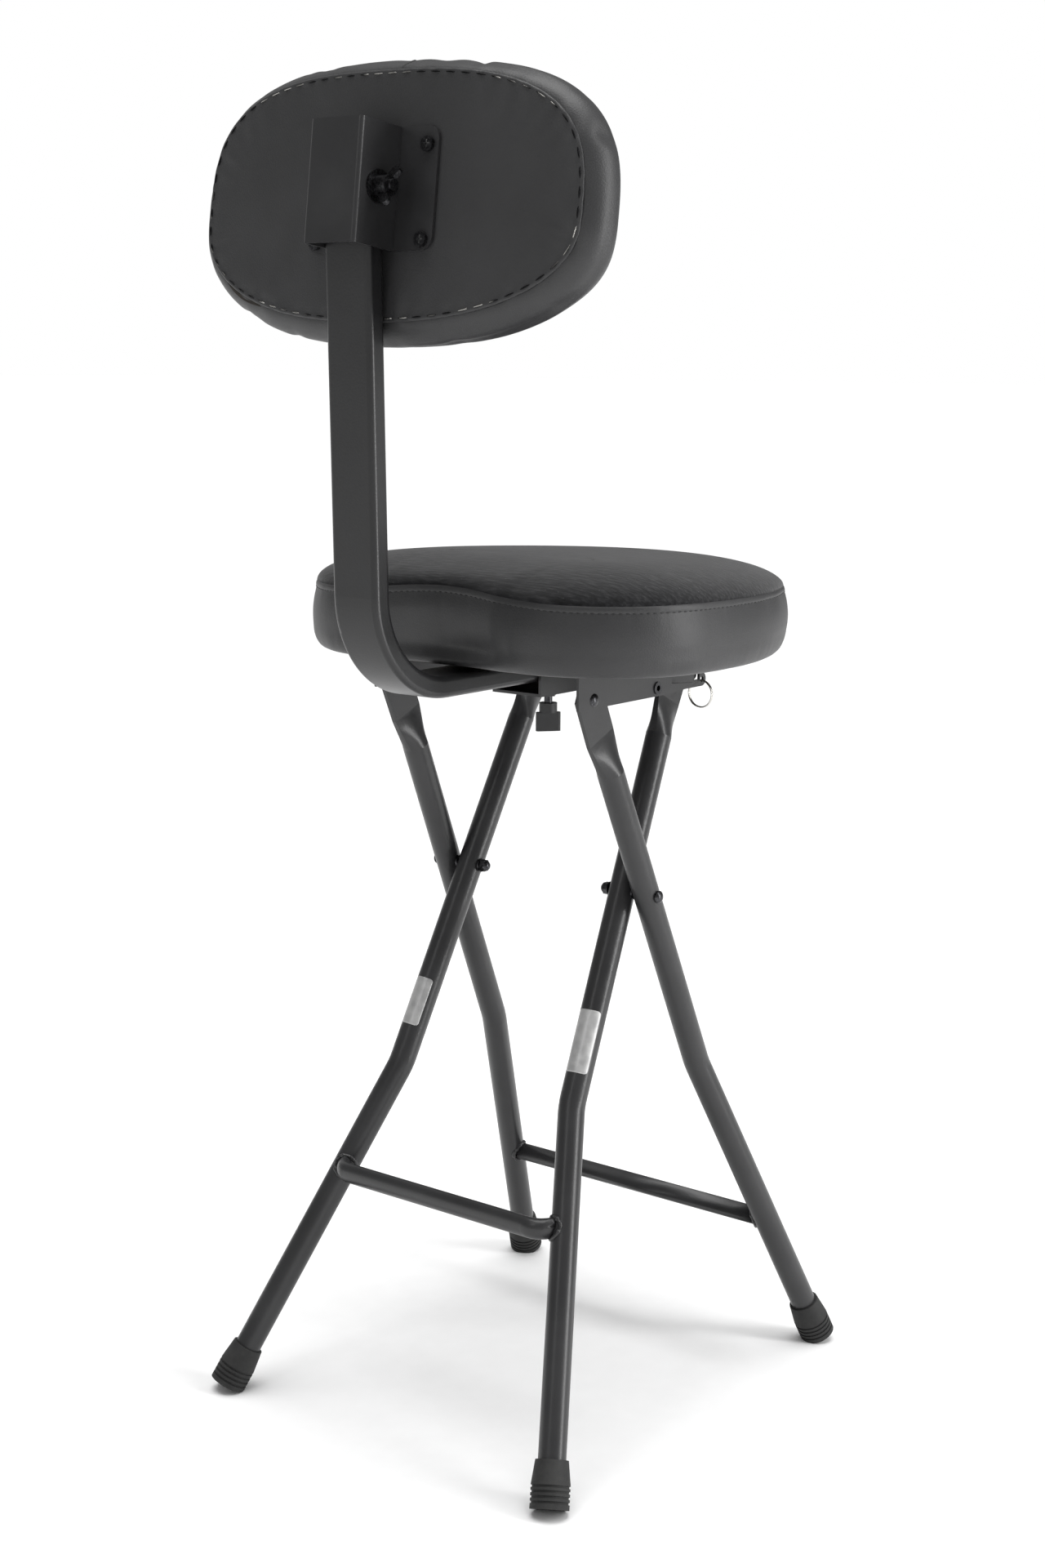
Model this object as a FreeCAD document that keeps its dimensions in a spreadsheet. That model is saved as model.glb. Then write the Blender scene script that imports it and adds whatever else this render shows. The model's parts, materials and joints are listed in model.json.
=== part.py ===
import FreeCAD, Part
import Sketcher
import math
import os
import re

# A folding guitar stool with a padded seat and a tilting backrest, in millimetres.
# +Z is up, the sitter faces -Y, and the sitter's left is +X.
# The floor is z = 0, and the legs cross at y = 0.

doc = FreeCAD.newDocument("GuitarStool")
home = {}
pieces = []


def full(formula):
    """The formula with each named size led by the sheet that holds it."""
    return re.sub(r"[a-z_]\w*", lambda word: home.get(word.group(), "") + word.group(), formula)


def make_sheet(name, cells):
    """A spreadsheet with one named cell in each row."""
    sheet = doc.addObject("Spreadsheet::Sheet", name)
    for row, (alias, content) in enumerate(cells.items(), start=1):
        cell = "B{}".format(row)
        sheet.set("A{}".format(row), alias)
        sheet.set(cell, full(str(content)))
        sheet.setAlias(cell, alias)
        home[alias] = name + "."
    doc.recompute()
    return sheet


size_values = {
    # Legs
    "tube_dia": 19,
    "tube_wall": 1.2,
    "cross_height": 376.4,
    "outer_half": 91.2,
    "leg_gap": 2.4,
    "outer_lean": 23.96,
    "inner_lean": 26.4,
    "inner_reach": 165,
    "outer_bend_drop": 149.6,
    "inner_bend_drop": 156.2,
    "outer_splay": 10.6,
    "inner_splay": 15.3,
    "leg_bend_radius": 55,
    # Pressed leg tops
    "flat_width": 28.5,
    "flat_thick": 3.1,
    "flat_overrun": 12,
    "flat_chamfer": 7,
    "outer_flat_below": 30,
    "inner_flat_below": 20,
    "inner_flat_half": 61.6,
    "press_length": 28,
    "press_corner": 70,
    # Feet
    "foot_rise": 4.5,
    "foot_dia": 26.5,
    "foot_top_dia": 22.5,
    "foot_height": 31.5,
    "foot_floor": 6,
    "foot_clear": 0.1,
    "foot_seat_clear": 0.9,
    "foot_rib_width": 1.6,
    "foot_rib_depth": 0.8,
    "foot_rib_pitch": 3.4,
    # Cross bars
    "bar_dia": 12.7,
    "bar_wall": 1.2,
    "front_bar_height": 106.5,
    "rear_bar_height": 164.5,
    "rear_bar_setback": 17,
    "rear_bar_end": 10.5,
    "rear_bar_radius": 14,
    # Cross pivots
    "bolt_dia": 5,
    "bolt_head_dia": 9,
    "bolt_head_dome": 2.2,
    "head_rim": 0.9,
    "spacer_dia": 9,
    "washer_dia": 10,
    "washer_thick": 1,
    "nut_flats": 8,
    "nut_height": 4,
    "nut_dome": 2.8,
    "pivot_clear": 0.05,
    "side_clear": 0.55,
    # Seat hinge rivets and latch studs
    "rivet_dia": 6,
    "rivet_head_dia": 9.1,
    "rivet_head_height": 2,
    "stud_dia": 6.5,
    "stud_head_dia": 12,
    "stud_head_height": 2.2,
    "stud_clear": 0.6,
    "stud_above": 1.489,
    "slip_clear": 0.2,
    # Seat bracket, measured from the hinge rivets, with its front end measured from the studs
    "sheet_thick": 2,
    "sheet_bend": 3,
    "bracket_half": 91,
    "plate_rise": 17.3,
    "flange_drop": 5.7,
    "flange_behind": 17.5,
    "flange_ahead": 92,
    "tongue_ahead": 118,
    "tongue_height": 7,
    "tongue_tip": 3,
    "plate_ahead": 29.62,
    "plate_front_half": 74,
    "plate_corner": 14,
    # Post receiver and clamp
    "channel_wall": 2,
    "channel_mouth": 31,
    "channel_end": 121,
    "channel_room": 8.2,
    "clamp_ahead": 68,
    "clamp_dia": 6,
    "weld_nut_flats": 10,
    "weld_nut_height": 5,
    "collar_dia": 13,
    "collar_height": 7,
    "collar_gap": 5,
    "paddle_width": 18,
    "paddle_thick": 5.5,
    "paddle_height": 13.6,
    "paddle_edge": 2,
    "paddle_turn": -40,
    # Back post
    "post_width": 38,
    "post_depth": 15,
    "post_wall": 1.5,
    "post_corner": 4,
    "post_clear": 0.3,
    "post_side_clear": 0.7,
    "post_ahead": 105,
    "post_behind": 129.5,
    "post_lean": 1.3,
    "post_bend_radius": 66,
    "post_above_bolt": 24.5,
    "bolt_above_run": 319.8,
    "plug_thick": 2,
    "plug_depth": 8,
    # Rest hooks
    "hook_thick": 4,
    "hook_inset": 3,
    "hook_lip": 6,
    "hook_wall": 4,
    # Latch, with the reach of its lever measured past the stud
    "eyelet_ahead": 74.3,
    "eyelet_dia": 6.5,
    "eyelet_hole": 4.1,
    "eyelet_lip": 9,
    "eyelet_rim": 0.9,
    "lever_thick": 2,
    "lever_stand": 8,
    "lever_boss": 7,
    "lever_reach": 6.62,
    "lever_drop": 2,
    "lever_tip": 5,
    "ring_hole": 4.4,
    "ring_dia": 22,
    "ring_wire": 2.2,
    # Seat
    "board_thick": 10,
    "board_inset": 16,
    "seat_rear": 53.5,
    "seat_notch_radius": 340,
    "seat_notch_turn": 8,
    "seat_lobe_radius": 103,
    "seat_lobe_turn": 81,
    "seat_side_radius": 211,
    "seat_side_turn": 119.5,
    "seat_lift": 1.5,
    "seat_band": 45,
    "seat_crown": 22,
    "seat_crown_run": 94,
    "seat_roll": 10,
    "seat_roll_height": 12,
    "seat_draw": 2.4,
    "seat_bolt_half": 38,
    "seat_bolt_rear": 10,
    "seat_bolt_front": 110,
    "seat_bolt_dia": 5,
    "seat_bolt_head": 11,
    "seat_bolt_head_height": 3,
    "soft_clear": 0.3,
    # Back bracket, measured from the tilt bolt
    "back_tilt": 7,
    "hat_crown": 18.7,
    "hat_depth": 39.2,
    "hat_clear": 0.4,
    "hat_flange": 31,
    "hat_above": 39.5,
    "hat_below": 36.5,
    "hat_corner": 9,
    "hat_bend": 3,
    "screw_inset": 8,
    "screw_above": 28,
    "screw_below": 30,
    "screw_dia": 4.5,
    "screw_head": 9.5,
    "screw_head_height": 2.6,
    "tilt_bolt_dia": 8,
    "tilt_head_dia": 17,
    "tilt_head_height": 4.2,
    "tilt_washer_dia": 21,
    "tilt_washer_thick": 1.6,
    "wing_hub_dia": 13,
    "wing_hub_height": 9,
    "wing_span": 27,
    "wing_thick": 3.2,
    "wing_rise": 7,
    "bolt_show": 3,
    "wing_turn": 25,
    # Back pad
    "pad_half": 167.5,
    "pad_top": 102,
    "pad_bottom": 77.2,
    "pad_waist": 14.3,
    "pad_top_power": 2.75,
    "pad_bottom_power": 2.3,
    "pad_thick": 46,
    "pad_edge_thick": 33,
    "pad_fold": 14,
    "pad_curve": 1083,
    "pad_board_thick": 9,
    "pad_board_half": 150,
    "pad_board_top": 67,
    "pad_board_bottom": 79,
    "pad_board_corner": 56,
    "pad_board_crown": 470,
}
sizes = make_sheet("Sizes", size_values)

place_values = {
    "tube_radius": "=tube_dia / 2",
    "inner_half": "=outer_half - tube_dia - leg_gap",
    "flange_inside": "=bracket_half - sheet_thick",
    "outer_flat_half": "=flange_inside - slip_clear - flat_thick / 2",
    # The outer legs reach as high as the inner ones, less the height of the studs above the rivets
    "outer_reach": "=(inner_reach * cos(inner_lean) - stud_above) / cos(outer_lean)",
    "hinge_y": "=outer_reach * sin(outer_lean)",
    "hinge_z": "=cross_height + outer_reach * cos(outer_lean)",
    "stud_y": "=-inner_reach * sin(inner_lean)",
    "stud_z": "=cross_height + inner_reach * cos(inner_lean)",
    "stud_ahead": "=hinge_y - stud_y",
    "plate_front": "=stud_ahead + plate_ahead",
    # How far each upper leg closes in for each millimetre up
    "outer_taper": "=(outer_half - outer_flat_half) / (outer_reach - outer_flat_below)",
    "inner_taper": "=(inner_half - inner_flat_half) / (inner_reach - inner_flat_below)",
    "outer_taper_angle": "=atan(outer_taper) / 1 deg",
    "inner_taper_angle": "=atan(inner_taper) / 1 deg",
    "outer_bend_half": "=outer_half + outer_bend_drop * outer_taper",
    "inner_bend_half": "=inner_half + inner_bend_drop * inner_taper",
    # Lengths of the lower legs and places of their ends, in the plane of each leg pair
    "outer_foot_drop": "=(cross_height - foot_rise) / cos(outer_lean)",
    "inner_foot_drop": "=(cross_height - foot_rise) / cos(inner_lean)",
    "outer_foot_half": "=outer_bend_half + (outer_foot_drop - outer_bend_drop) * tan(outer_splay)",
    "inner_foot_half": "=inner_bend_half + (inner_foot_drop - inner_bend_drop) * tan(inner_splay)",
    "front_bar_drop": "=(cross_height - front_bar_height) / cos(outer_lean)",
    "front_bar_half": "=outer_bend_half + (front_bar_drop - outer_bend_drop) * tan(outer_splay)",
    "rear_bar_drop": "=(cross_height - rear_bar_height) / cos(inner_lean)",
    "rear_bar_half": "=inner_bend_half + (rear_bar_drop - inner_bend_drop) * tan(inner_splay)",
    "pivot_head_seat": "=outer_half + tube_radius + side_clear / 2",
    "pivot_nut_seat": "=inner_half - tube_radius - side_clear - washer_thick",
    "pivot_nut_end": "=pivot_nut_seat - nut_height",
    "rivet_inside": "=outer_flat_half - flat_thick / 2",
    "rivet_outside": "=bracket_half + slip_clear",
    "rear_bar_turn": "=atan(rear_bar_setback / rear_bar_end) / 1 deg",
    # Post: the centre of its lower run above the hinge, its bend, and the tilt bolt
    "run_rise": "=plate_rise - post_clear - post_depth / 2",
    "channel_inside": "=post_width / 2 + post_side_clear",
    "channel_floor": "=run_rise - post_depth / 2 - channel_room",
    "post_bend_run": "=post_bend_radius * tan((90 - post_lean) / 2)",
    "post_rise": "=bolt_above_run + post_above_bolt",
    "tilt_y": "=hinge_y + post_behind + bolt_above_run * tan(post_lean)",
    "tilt_z": "=hinge_z + run_rise + bolt_above_run",
    # Clamp screw: its collar hangs below the weld nut
    "nut_foot": "=channel_floor - channel_wall - weld_nut_height",
    "collar_top": "=nut_foot - collar_gap",
    # Latch lever, on the right side only
    "lever_half": "=flange_inside - lever_stand - lever_thick / 2",
    "lever_end": "=stud_ahead - eyelet_ahead + lever_reach",
    "lever_inside": "=lever_half - lever_thick / 2",
    "stud_seat": "=inner_flat_half - flat_thick / 2",
    "stud_end": "=lever_inside - stud_clear",
    "ring_radius": "=(ring_dia - ring_wire) / 2",
    "ring_drop": "=lever_drop + (ring_hole - ring_wire) / 2 - slip_clear",
    "hook_half": "=inner_flat_half + flat_thick / 2 + hook_inset + hook_thick / 2",
    # Seat and its board
    "board_foot": "=plate_rise + sheet_thick",
    "seat_foot": "=board_foot + seat_lift",
    "seat_seam": "=seat_foot + seat_band",
    # Where the arcs of the seat's outline meet, on the left of the mid-plane
    "seat_notch_x": "=seat_notch_radius * sin(seat_notch_turn)",
    "seat_notch_y": "=seat_rear + seat_notch_radius * (1 - cos(seat_notch_turn))",
    "seat_lobe_x": "=seat_notch_x + seat_lobe_radius * (sin(seat_notch_turn) + sin(seat_lobe_turn))",
    "seat_lobe_y": "=seat_notch_y + seat_lobe_radius * (cos(seat_lobe_turn) - cos(seat_notch_turn))",
    "seat_side_x": "=seat_lobe_x + seat_side_radius * (sin(seat_side_turn) - sin(seat_lobe_turn))",
    "seat_side_y": "=seat_lobe_y + seat_side_radius * (cos(seat_side_turn) - cos(seat_lobe_turn))",
    "seat_front_radius": "=seat_side_x / sin(seat_side_turn)",
    # Back bracket
    "hat_inside": "=post_width / 2 + hat_clear",
    "hat_half": "=hat_inside + sheet_thick",
    "hat_flange_half": "=hat_half + hat_flange",
    "pad_back": "=hat_crown - hat_depth",
    "wing_seat": "=hat_half + tilt_washer_thick + slip_clear",
    "tilt_bolt_end": "=wing_seat + wing_hub_height + bolt_show",
    # The turn and the half width of the back board's crowned top and bottom edges
    "pad_board_turn": "=asin((pad_board_half - pad_board_corner) / (pad_board_crown - pad_board_corner)) / 1 deg",
    "pad_board_shoulder": "=pad_board_crown * sin(pad_board_turn)",
}
places = make_sheet("Places", place_values)

sides = (("left", "1"), ("right", "-1"))


def number(formula):
    """The present value of a formula of named sizes."""
    return float(sizes.evalExpression(full(formula)))


def bind(thing, where, formula):
    """Ties a property to a formula of named sizes."""
    thing.setExpression(where, full(formula))


def body(label, y="0", z="0", angle="0"):
    """An empty piece whose own frame is moved in the mid-plane and turned about X."""
    piece = doc.addObject("PartDesign::Body", label)
    piece.Label = label
    turn = FreeCAD.Rotation(FreeCAD.Vector(1, 0, 0), number(angle))
    piece.Placement = FreeCAD.Placement(FreeCAD.Vector(0, number(y), number(z)), turn)
    bind(piece, "Placement.Base.y", y)
    bind(piece, "Placement.Base.z", z)
    if angle != "0":
        bind(piece, "Placement.Rotation.Angle", angle)
    pieces.append(piece)
    return piece


def sketch(piece, plane, across="0", up="0", out="0", turn="0", axis=(0, 0, 1)):
    """A sketch on an origin plane of a piece, shifted and turned in the sketch's own axes."""
    drawing = piece.newObject("Sketcher::SketchObject", piece.Name + "_sketch")
    role = plane + "_Plane"
    drawing.AttachmentSupport = [(face, "") for face in piece.Origin.OriginFeatures if face.Role == role]
    drawing.MapMode = "FlatFace"
    spin = FreeCAD.Rotation(FreeCAD.Vector(*axis), number(turn))
    drawing.AttachmentOffset = FreeCAD.Placement(FreeCAD.Vector(), spin)
    bind(drawing, "AttachmentOffset.Base.x", across)
    bind(drawing, "AttachmentOffset.Base.y", up)
    bind(drawing, "AttachmentOffset.Base.z", out)
    if turn != "0":
        bind(drawing, "AttachmentOffset.Rotation.Angle", turn)
    return drawing


def fix(drawing, kind, parts, formula):
    """One dimension of a sketch, tied to its formula."""
    index = drawing.addConstraint(Sketcher.Constraint(kind, *parts, number(formula)))
    bind(drawing, "Constraints[{}]".format(index), formula)


def arc_between(start, end, radius):
    """The short arc from start to end: a plus radius turns left on the way, a minus radius right."""
    chord = end - start
    left = FreeCAD.Vector(-chord.y, chord.x, 0).normalize()
    rise = math.sqrt(radius ** 2 - chord.Length ** 2 / 4)
    centre = (start + end) / 2 + left * math.copysign(rise, radius)
    first, last = (start, end) if radius > 0 else (end, start)
    circle = Part.Circle(centre, FreeCAD.Vector(0, 0, 1), abs(radius))
    return Part.ArcOfCircle(circle, circle.parameter(first), circle.parameter(last))


def outline(drawing, points, closed=True):
    """Lines and arcs through points (across, up) or (across, up, radius of the arc that follows)."""
    spots = [FreeCAD.Vector(number(point[0]), number(point[1]), 0) for point in points]
    count = len(points) if closed else len(points) - 1
    edges = []
    for index in range(count):
        start = spots[index]
        end = spots[(index + 1) % len(points)]
        bent = len(points[index]) > 2
        radius = number(points[index][2]) if bent else 0
        edge = arc_between(start, end, radius) if bent else Part.LineSegment(start, end)
        ends = (2, 1) if radius < 0 else (1, 2)
        edges.append((drawing.addGeometry(edge), ends))
    for index in range(count):
        geometry, ends = edges[index]
        fix(drawing, "DistanceX", (-1, 1, geometry, ends[0]), points[index][0])
        fix(drawing, "DistanceY", (-1, 1, geometry, ends[0]), points[index][1])
        if len(points[index]) > 2:
            fix(drawing, "Radius", (geometry,), "abs({})".format(points[index][2]))
        if index + 1 < count or closed:
            follower, follower_ends = edges[(index + 1) % count]
            joint = Sketcher.Constraint("Coincident", geometry, ends[1], follower, follower_ends[0])
            drawing.addConstraint(joint)
    if not closed:
        geometry, ends = edges[-1]
        fix(drawing, "DistanceX", (-1, 1, geometry, ends[1]), points[-1][0])
        fix(drawing, "DistanceY", (-1, 1, geometry, ends[1]), points[-1][1])


def circle(drawing, across, up, diameter):
    """A round outline about a centre."""
    centre = FreeCAD.Vector(number(across), number(up), 0)
    ring = Part.Circle(centre, FreeCAD.Vector(0, 0, 1), number(diameter) / 2)
    geometry = drawing.addGeometry(ring)
    fix(drawing, "DistanceX", (-1, 1, geometry, 3), across)
    fix(drawing, "DistanceY", (-1, 1, geometry, 3), up)
    fix(drawing, "Diameter", (geometry,), diameter)


def rectangle(drawing, left, low, right, high):
    """A four-sided outline square to the sketch."""
    outline(drawing, [(left, low), (right, low), (right, high), (left, high)])


def rounded(drawing, half_across, half_up, radius, up="0"):
    """A rectangle with round corners about the sketch's middle line."""
    inner_across = "({} - {})".format(half_across, radius)
    inner_up = "({} - {})".format(half_up, radius)
    outline(drawing, [
        ("-" + inner_across, "{} - {}".format(up, half_up)),
        (inner_across, "{} - {}".format(up, half_up), radius),
        (half_across, "{} - {}".format(up, inner_up)),
        (half_across, "{} + {}".format(up, inner_up), radius),
        (inner_across, "{} + {}".format(up, half_up)),
        ("-" + inner_across, "{} + {}".format(up, half_up), radius),
        ("-({})".format(half_across), "{} + {}".format(up, inner_up)),
        ("-({})".format(half_across), "{} - {}".format(up, inner_up), radius),
    ])


def hexagon(drawing, flats, up="0"):
    """A hexagon about the sketch's middle line with two corners across."""
    corner = "({} / sqrt(3))".format(flats)
    side = "({} / 2)".format(flats)
    outline(drawing, [
        (corner, up),
        (corner + " / 2", "{} + {}".format(up, side)),
        ("-{} / 2".format(corner), "{} + {}".format(up, side)),
        ("-" + corner, up),
        ("-{} / 2".format(corner), "{} - {}".format(up, side)),
        (corner + " / 2", "{} - {}".format(up, side)),
    ])


def extrude(piece, kind, drawing, length, both_ways=False, backward=False):
    """A pad or a pocket of a sketch, over a length."""
    feature = piece.newObject("PartDesign::" + kind, piece.Name + "_" + kind)
    feature.Profile = drawing
    bind(feature, "Length", length)
    feature.SideType = "Symmetric" if both_ways else "One side"
    feature.Reversed = backward
    return feature


def turn_about(piece, kind, drawing, axis):
    """A whole turn of a sketch about one of its own axes, added or cut."""
    feature = piece.newObject("PartDesign::" + kind, piece.Name + "_" + kind)
    feature.Profile = drawing
    feature.ReferenceAxis = (drawing, [axis])
    feature.Angle = 360


def pipe(piece, section, path):
    """A section carried along a path."""
    feature = piece.newObject("PartDesign::AdditivePipe", piece.Name + "_pipe")
    feature.Profile = section
    feature.Spine = (path, [])
    feature.Transition = "Round corner"


def loft(piece, sections):
    """A skin through sections in order."""
    feature = piece.newObject("PartDesign::AdditiveLoft", piece.Name + "_loft")
    feature.Profile = sections[0]
    feature.Sections = [(section, [""]) for section in sections[1:]]


def bent_leg(label, name, side, angle, pin):
    """A tube leg: pressed flat at the top, straight through the cross pivot, splayed below a bend."""
    piece = body(label, "0", "cross_height", angle)
    splay = name + "_splay"
    flat_foot = "({0}_reach - {0}_flat_below)".format(name)
    round_top = "({} - press_length)".format(flat_foot)
    round_half = "{} * ({}_half - {} * {}_taper)".format(side, name, round_top, name)
    flat_half = "{} * {}_flat_half".format(side, name)
    bend_half = name + "_bend_half"
    bend_drop = name + "_bend_drop"
    # The bend takes up the same length of both straight runs
    taper_angle = name + "_taper_angle"
    bend_run = "leg_bend_radius * tan(({} - {}) / 2)".format(splay, taper_angle)
    path = sketch(piece, "XZ")
    outline(path, [
        (round_half, round_top),
        ("{} * ({} - {} * sin({}))".format(side, bend_half, bend_run, taper_angle),
         "-{} + {} * cos({})".format(bend_drop, bend_run, taper_angle),
         "{} * leg_bend_radius".format(side)),
        ("{} * ({} + {} * sin({}))".format(side, bend_half, bend_run, splay),
         "-{} - {} * cos({})".format(bend_drop, bend_run, splay)),
        ("{} * {}_foot_half - {} * foot_floor * sin({})".format(side, name, side, splay),
         "-{}_foot_drop + foot_floor * cos({})".format(name, splay)),
    ], closed=False)
    section = sketch(piece, "XY", out=round_top)
    circle(section, round_half, "0", "tube_dia")
    circle(section, round_half, "0", "tube_dia - 2 * tube_wall")
    pipe(piece, section, path)
    # The pressed part runs from the round tube to the flat
    round_end = sketch(piece, "XY", across=round_half, out=round_top)
    reach_x = "tube_radius * cos(press_corner)"
    reach_y = "tube_radius * sin(press_corner)"
    outline(round_end, [
        (reach_x, "-" + reach_y, "tube_radius"),
        (reach_x, reach_y, "tube_radius"),
        ("-" + reach_x, reach_y, "tube_radius"),
        ("-" + reach_x, "-" + reach_y, "tube_radius"),
    ])
    flat_end = sketch(piece, "XY", across=flat_half, out=flat_foot)
    rectangle(flat_end, "-flat_thick / 2", "-flat_width / 2", "flat_thick / 2", "flat_width / 2")
    loft(piece, [round_end, flat_end])
    # The flat has clipped corners and the hole for its rivet or stud
    flat = sketch(piece, "YZ", out=flat_half)
    flat_top = "({}_reach + flat_overrun)".format(name)
    outline(flat, [
        ("-flat_width / 2", flat_foot),
        ("flat_width / 2", flat_foot),
        ("flat_width / 2", flat_top + " - flat_chamfer"),
        ("flat_width / 2 - flat_chamfer", flat_top),
        ("flat_chamfer - flat_width / 2", flat_top),
        ("-flat_width / 2", flat_top + " - flat_chamfer"),
    ])
    circle(flat, "0", name + "_reach", pin + " + 2 * pivot_clear")
    extrude(piece, "Pad", flat, "flat_thick", both_ways=True)
    # The cross pivot's hole goes through both walls
    hole = sketch(piece, "YZ", out="{} * {}_half".format(side, name))
    circle(hole, "0", "0", "bolt_dia + 2 * pivot_clear")
    extrude(piece, "Pocket", hole, "2 * tube_dia", both_ways=True)
    return piece


def rubber_foot(label, name, side, angle):
    """A ribbed rubber foot square to its leg, worn flat where it meets the floor."""
    piece = body(label, "0", "cross_height", angle)
    splay = name + "_splay"
    lean = "{} * {}".format(side, splay)
    half = "{} * {}_foot_half".format(side, name)
    drop = "-{}_foot_drop".format(name)
    shape = sketch(piece, "XZ", across=half, up=drop, turn=lean)
    outline(shape, [
        ("0", "0"),
        ("foot_dia / 2", "0"),
        ("foot_dia / 2", "foot_height / 2"),
        ("foot_top_dia / 2", "foot_height"),
        ("tube_radius + foot_clear", "foot_height"),
        ("tube_radius + foot_clear", "foot_floor - foot_seat_clear"),
        ("0", "foot_floor - foot_seat_clear"),
    ])
    turn_about(piece, "Revolution", shape, "V_Axis")
    # Grip grooves between the ribs of the lower half
    grooves = sketch(piece, "XZ", across=half, up=drop, turn=lean)
    for step in (1, 2, 3, 4):
        low = "{} * foot_rib_pitch".format(step)
        rectangle(grooves, "foot_dia / 2 - foot_rib_depth", low, "foot_dia", low + " + foot_rib_width")
    turn_about(piece, "Groove", grooves, "V_Axis")
    # The floor, square to the plumb line
    floor = sketch(piece, "YZ", turn="-({})".format(angle))
    spot = "{}_foot_drop * sin({})".format(name, angle)
    rectangle(floor, spot + " - foot_height", "-cross_height - foot_height",
              spot + " + foot_height", "-cross_height")
    extrude(piece, "Pocket", floor, "4 * {}_foot_half".format(name), both_ways=True)
    return piece


def cope(piece, half, drop, side, splay):
    """Cuts the end of a bar to the round of the leg that it meets."""
    cut = sketch(piece, "XZ", across="{} * {}".format(side, half), up="-" + drop,
                 turn="{} * {}".format(side, splay))
    rectangle(cut, "0", "-2 * bar_dia", "tube_radius", "2 * bar_dia")
    turn_about(piece, "Groove", cut, "V_Axis")


def dome(radius, rise):
    """The radius of a cap of the given rise over a round of the given radius."""
    return "(({0}) * ({0}) + ({1}) * ({1})) / (2 * ({1}))".format(radius, rise)


def turned(label, y, z, side, points, angle="0"):
    """A piece turned about an axis along X, from points (distance from the mid-plane, radius, bend)."""
    piece = body(label, y, z, angle)
    shape = sketch(piece, "XZ")
    hand = "{} * ".format(side)
    outline(shape, [(hand + "({})".format(point[0]), point[1]) if len(point) == 2 else
                    (hand + "({})".format(point[0]), point[1], hand + "({})".format(point[2]))
                    for point in points])
    turn_about(piece, "Revolution", shape, "H_Axis")
    return piece


def ring(label, y, z, side, start, thick, outside, inside, angle="0"):
    """A flat ring on an axis along X, from its face nearest the mid-plane outward."""
    piece = body(label, y, z, angle)
    shape = sketch(piece, "YZ", out="{} * ({})".format(side, start))
    circle(shape, "0", "0", outside)
    circle(shape, "0", "0", inside)
    extrude(piece, "Pad", shape, thick, backward=side == "-1")
    return piece


# Outer and inner leg frames
outer_angle = "-outer_lean"
inner_angle = "inner_lean"
for hand, side in sides:
    bent_leg("outer_leg_" + hand, "outer", side, outer_angle, "rivet_dia")
    bent_leg("inner_leg_" + hand, "inner", side, inner_angle, "stud_dia")
    rubber_foot("outer_foot_" + hand, "outer", side, outer_angle)
    rubber_foot("inner_foot_" + hand, "inner", side, inner_angle)

# Front bar, straight between the outer legs
front_bar = body("front_bar", "0", "cross_height", outer_angle)
bar_section = sketch(front_bar, "YZ")
circle(bar_section, "0", "-front_bar_drop", "bar_dia")
circle(bar_section, "0", "-front_bar_drop", "bar_dia - 2 * bar_wall")
extrude(front_bar, "Pad", bar_section, "2 * front_bar_half", both_ways=True)
for hand, side in sides:
    cope(front_bar, "front_bar_half", "front_bar_drop", side, "outer_splay")

# Rear bar, set back behind the inner legs with bent ends
rear_bar = body("rear_bar", "0", "cross_height", inner_angle)
level_path = sketch(rear_bar, "XY", out="-rear_bar_drop", turn="-inner_lean", axis=(1, 0, 0))
corner_run = "rear_bar_radius * tan(rear_bar_turn / 2)"
corner_half = "(rear_bar_half - rear_bar_end)"
bend_in = "({} + {} * cos(rear_bar_turn))".format(corner_half, corner_run)
bend_in_y = "(rear_bar_setback - {} * sin(rear_bar_turn))".format(corner_run)
bend_out = "({} - {})".format(corner_half, corner_run)
outline(level_path, [
    ("-rear_bar_half", "0"),
    ("-" + bend_in, bend_in_y, "-rear_bar_radius"),
    ("-" + bend_out, "rear_bar_setback"),
    (bend_out, "rear_bar_setback", "-rear_bar_radius"),
    (bend_in, bend_in_y),
    ("rear_bar_half", "0"),
], closed=False)
bar_section = sketch(rear_bar, "YZ", out="-rear_bar_half")
circle(bar_section, "0", "-rear_bar_drop", "bar_dia")
pipe(rear_bar, bar_section, level_path)
for hand, side in sides:
    cope(rear_bar, "rear_bar_half", "rear_bar_drop", side, "inner_splay")

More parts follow.
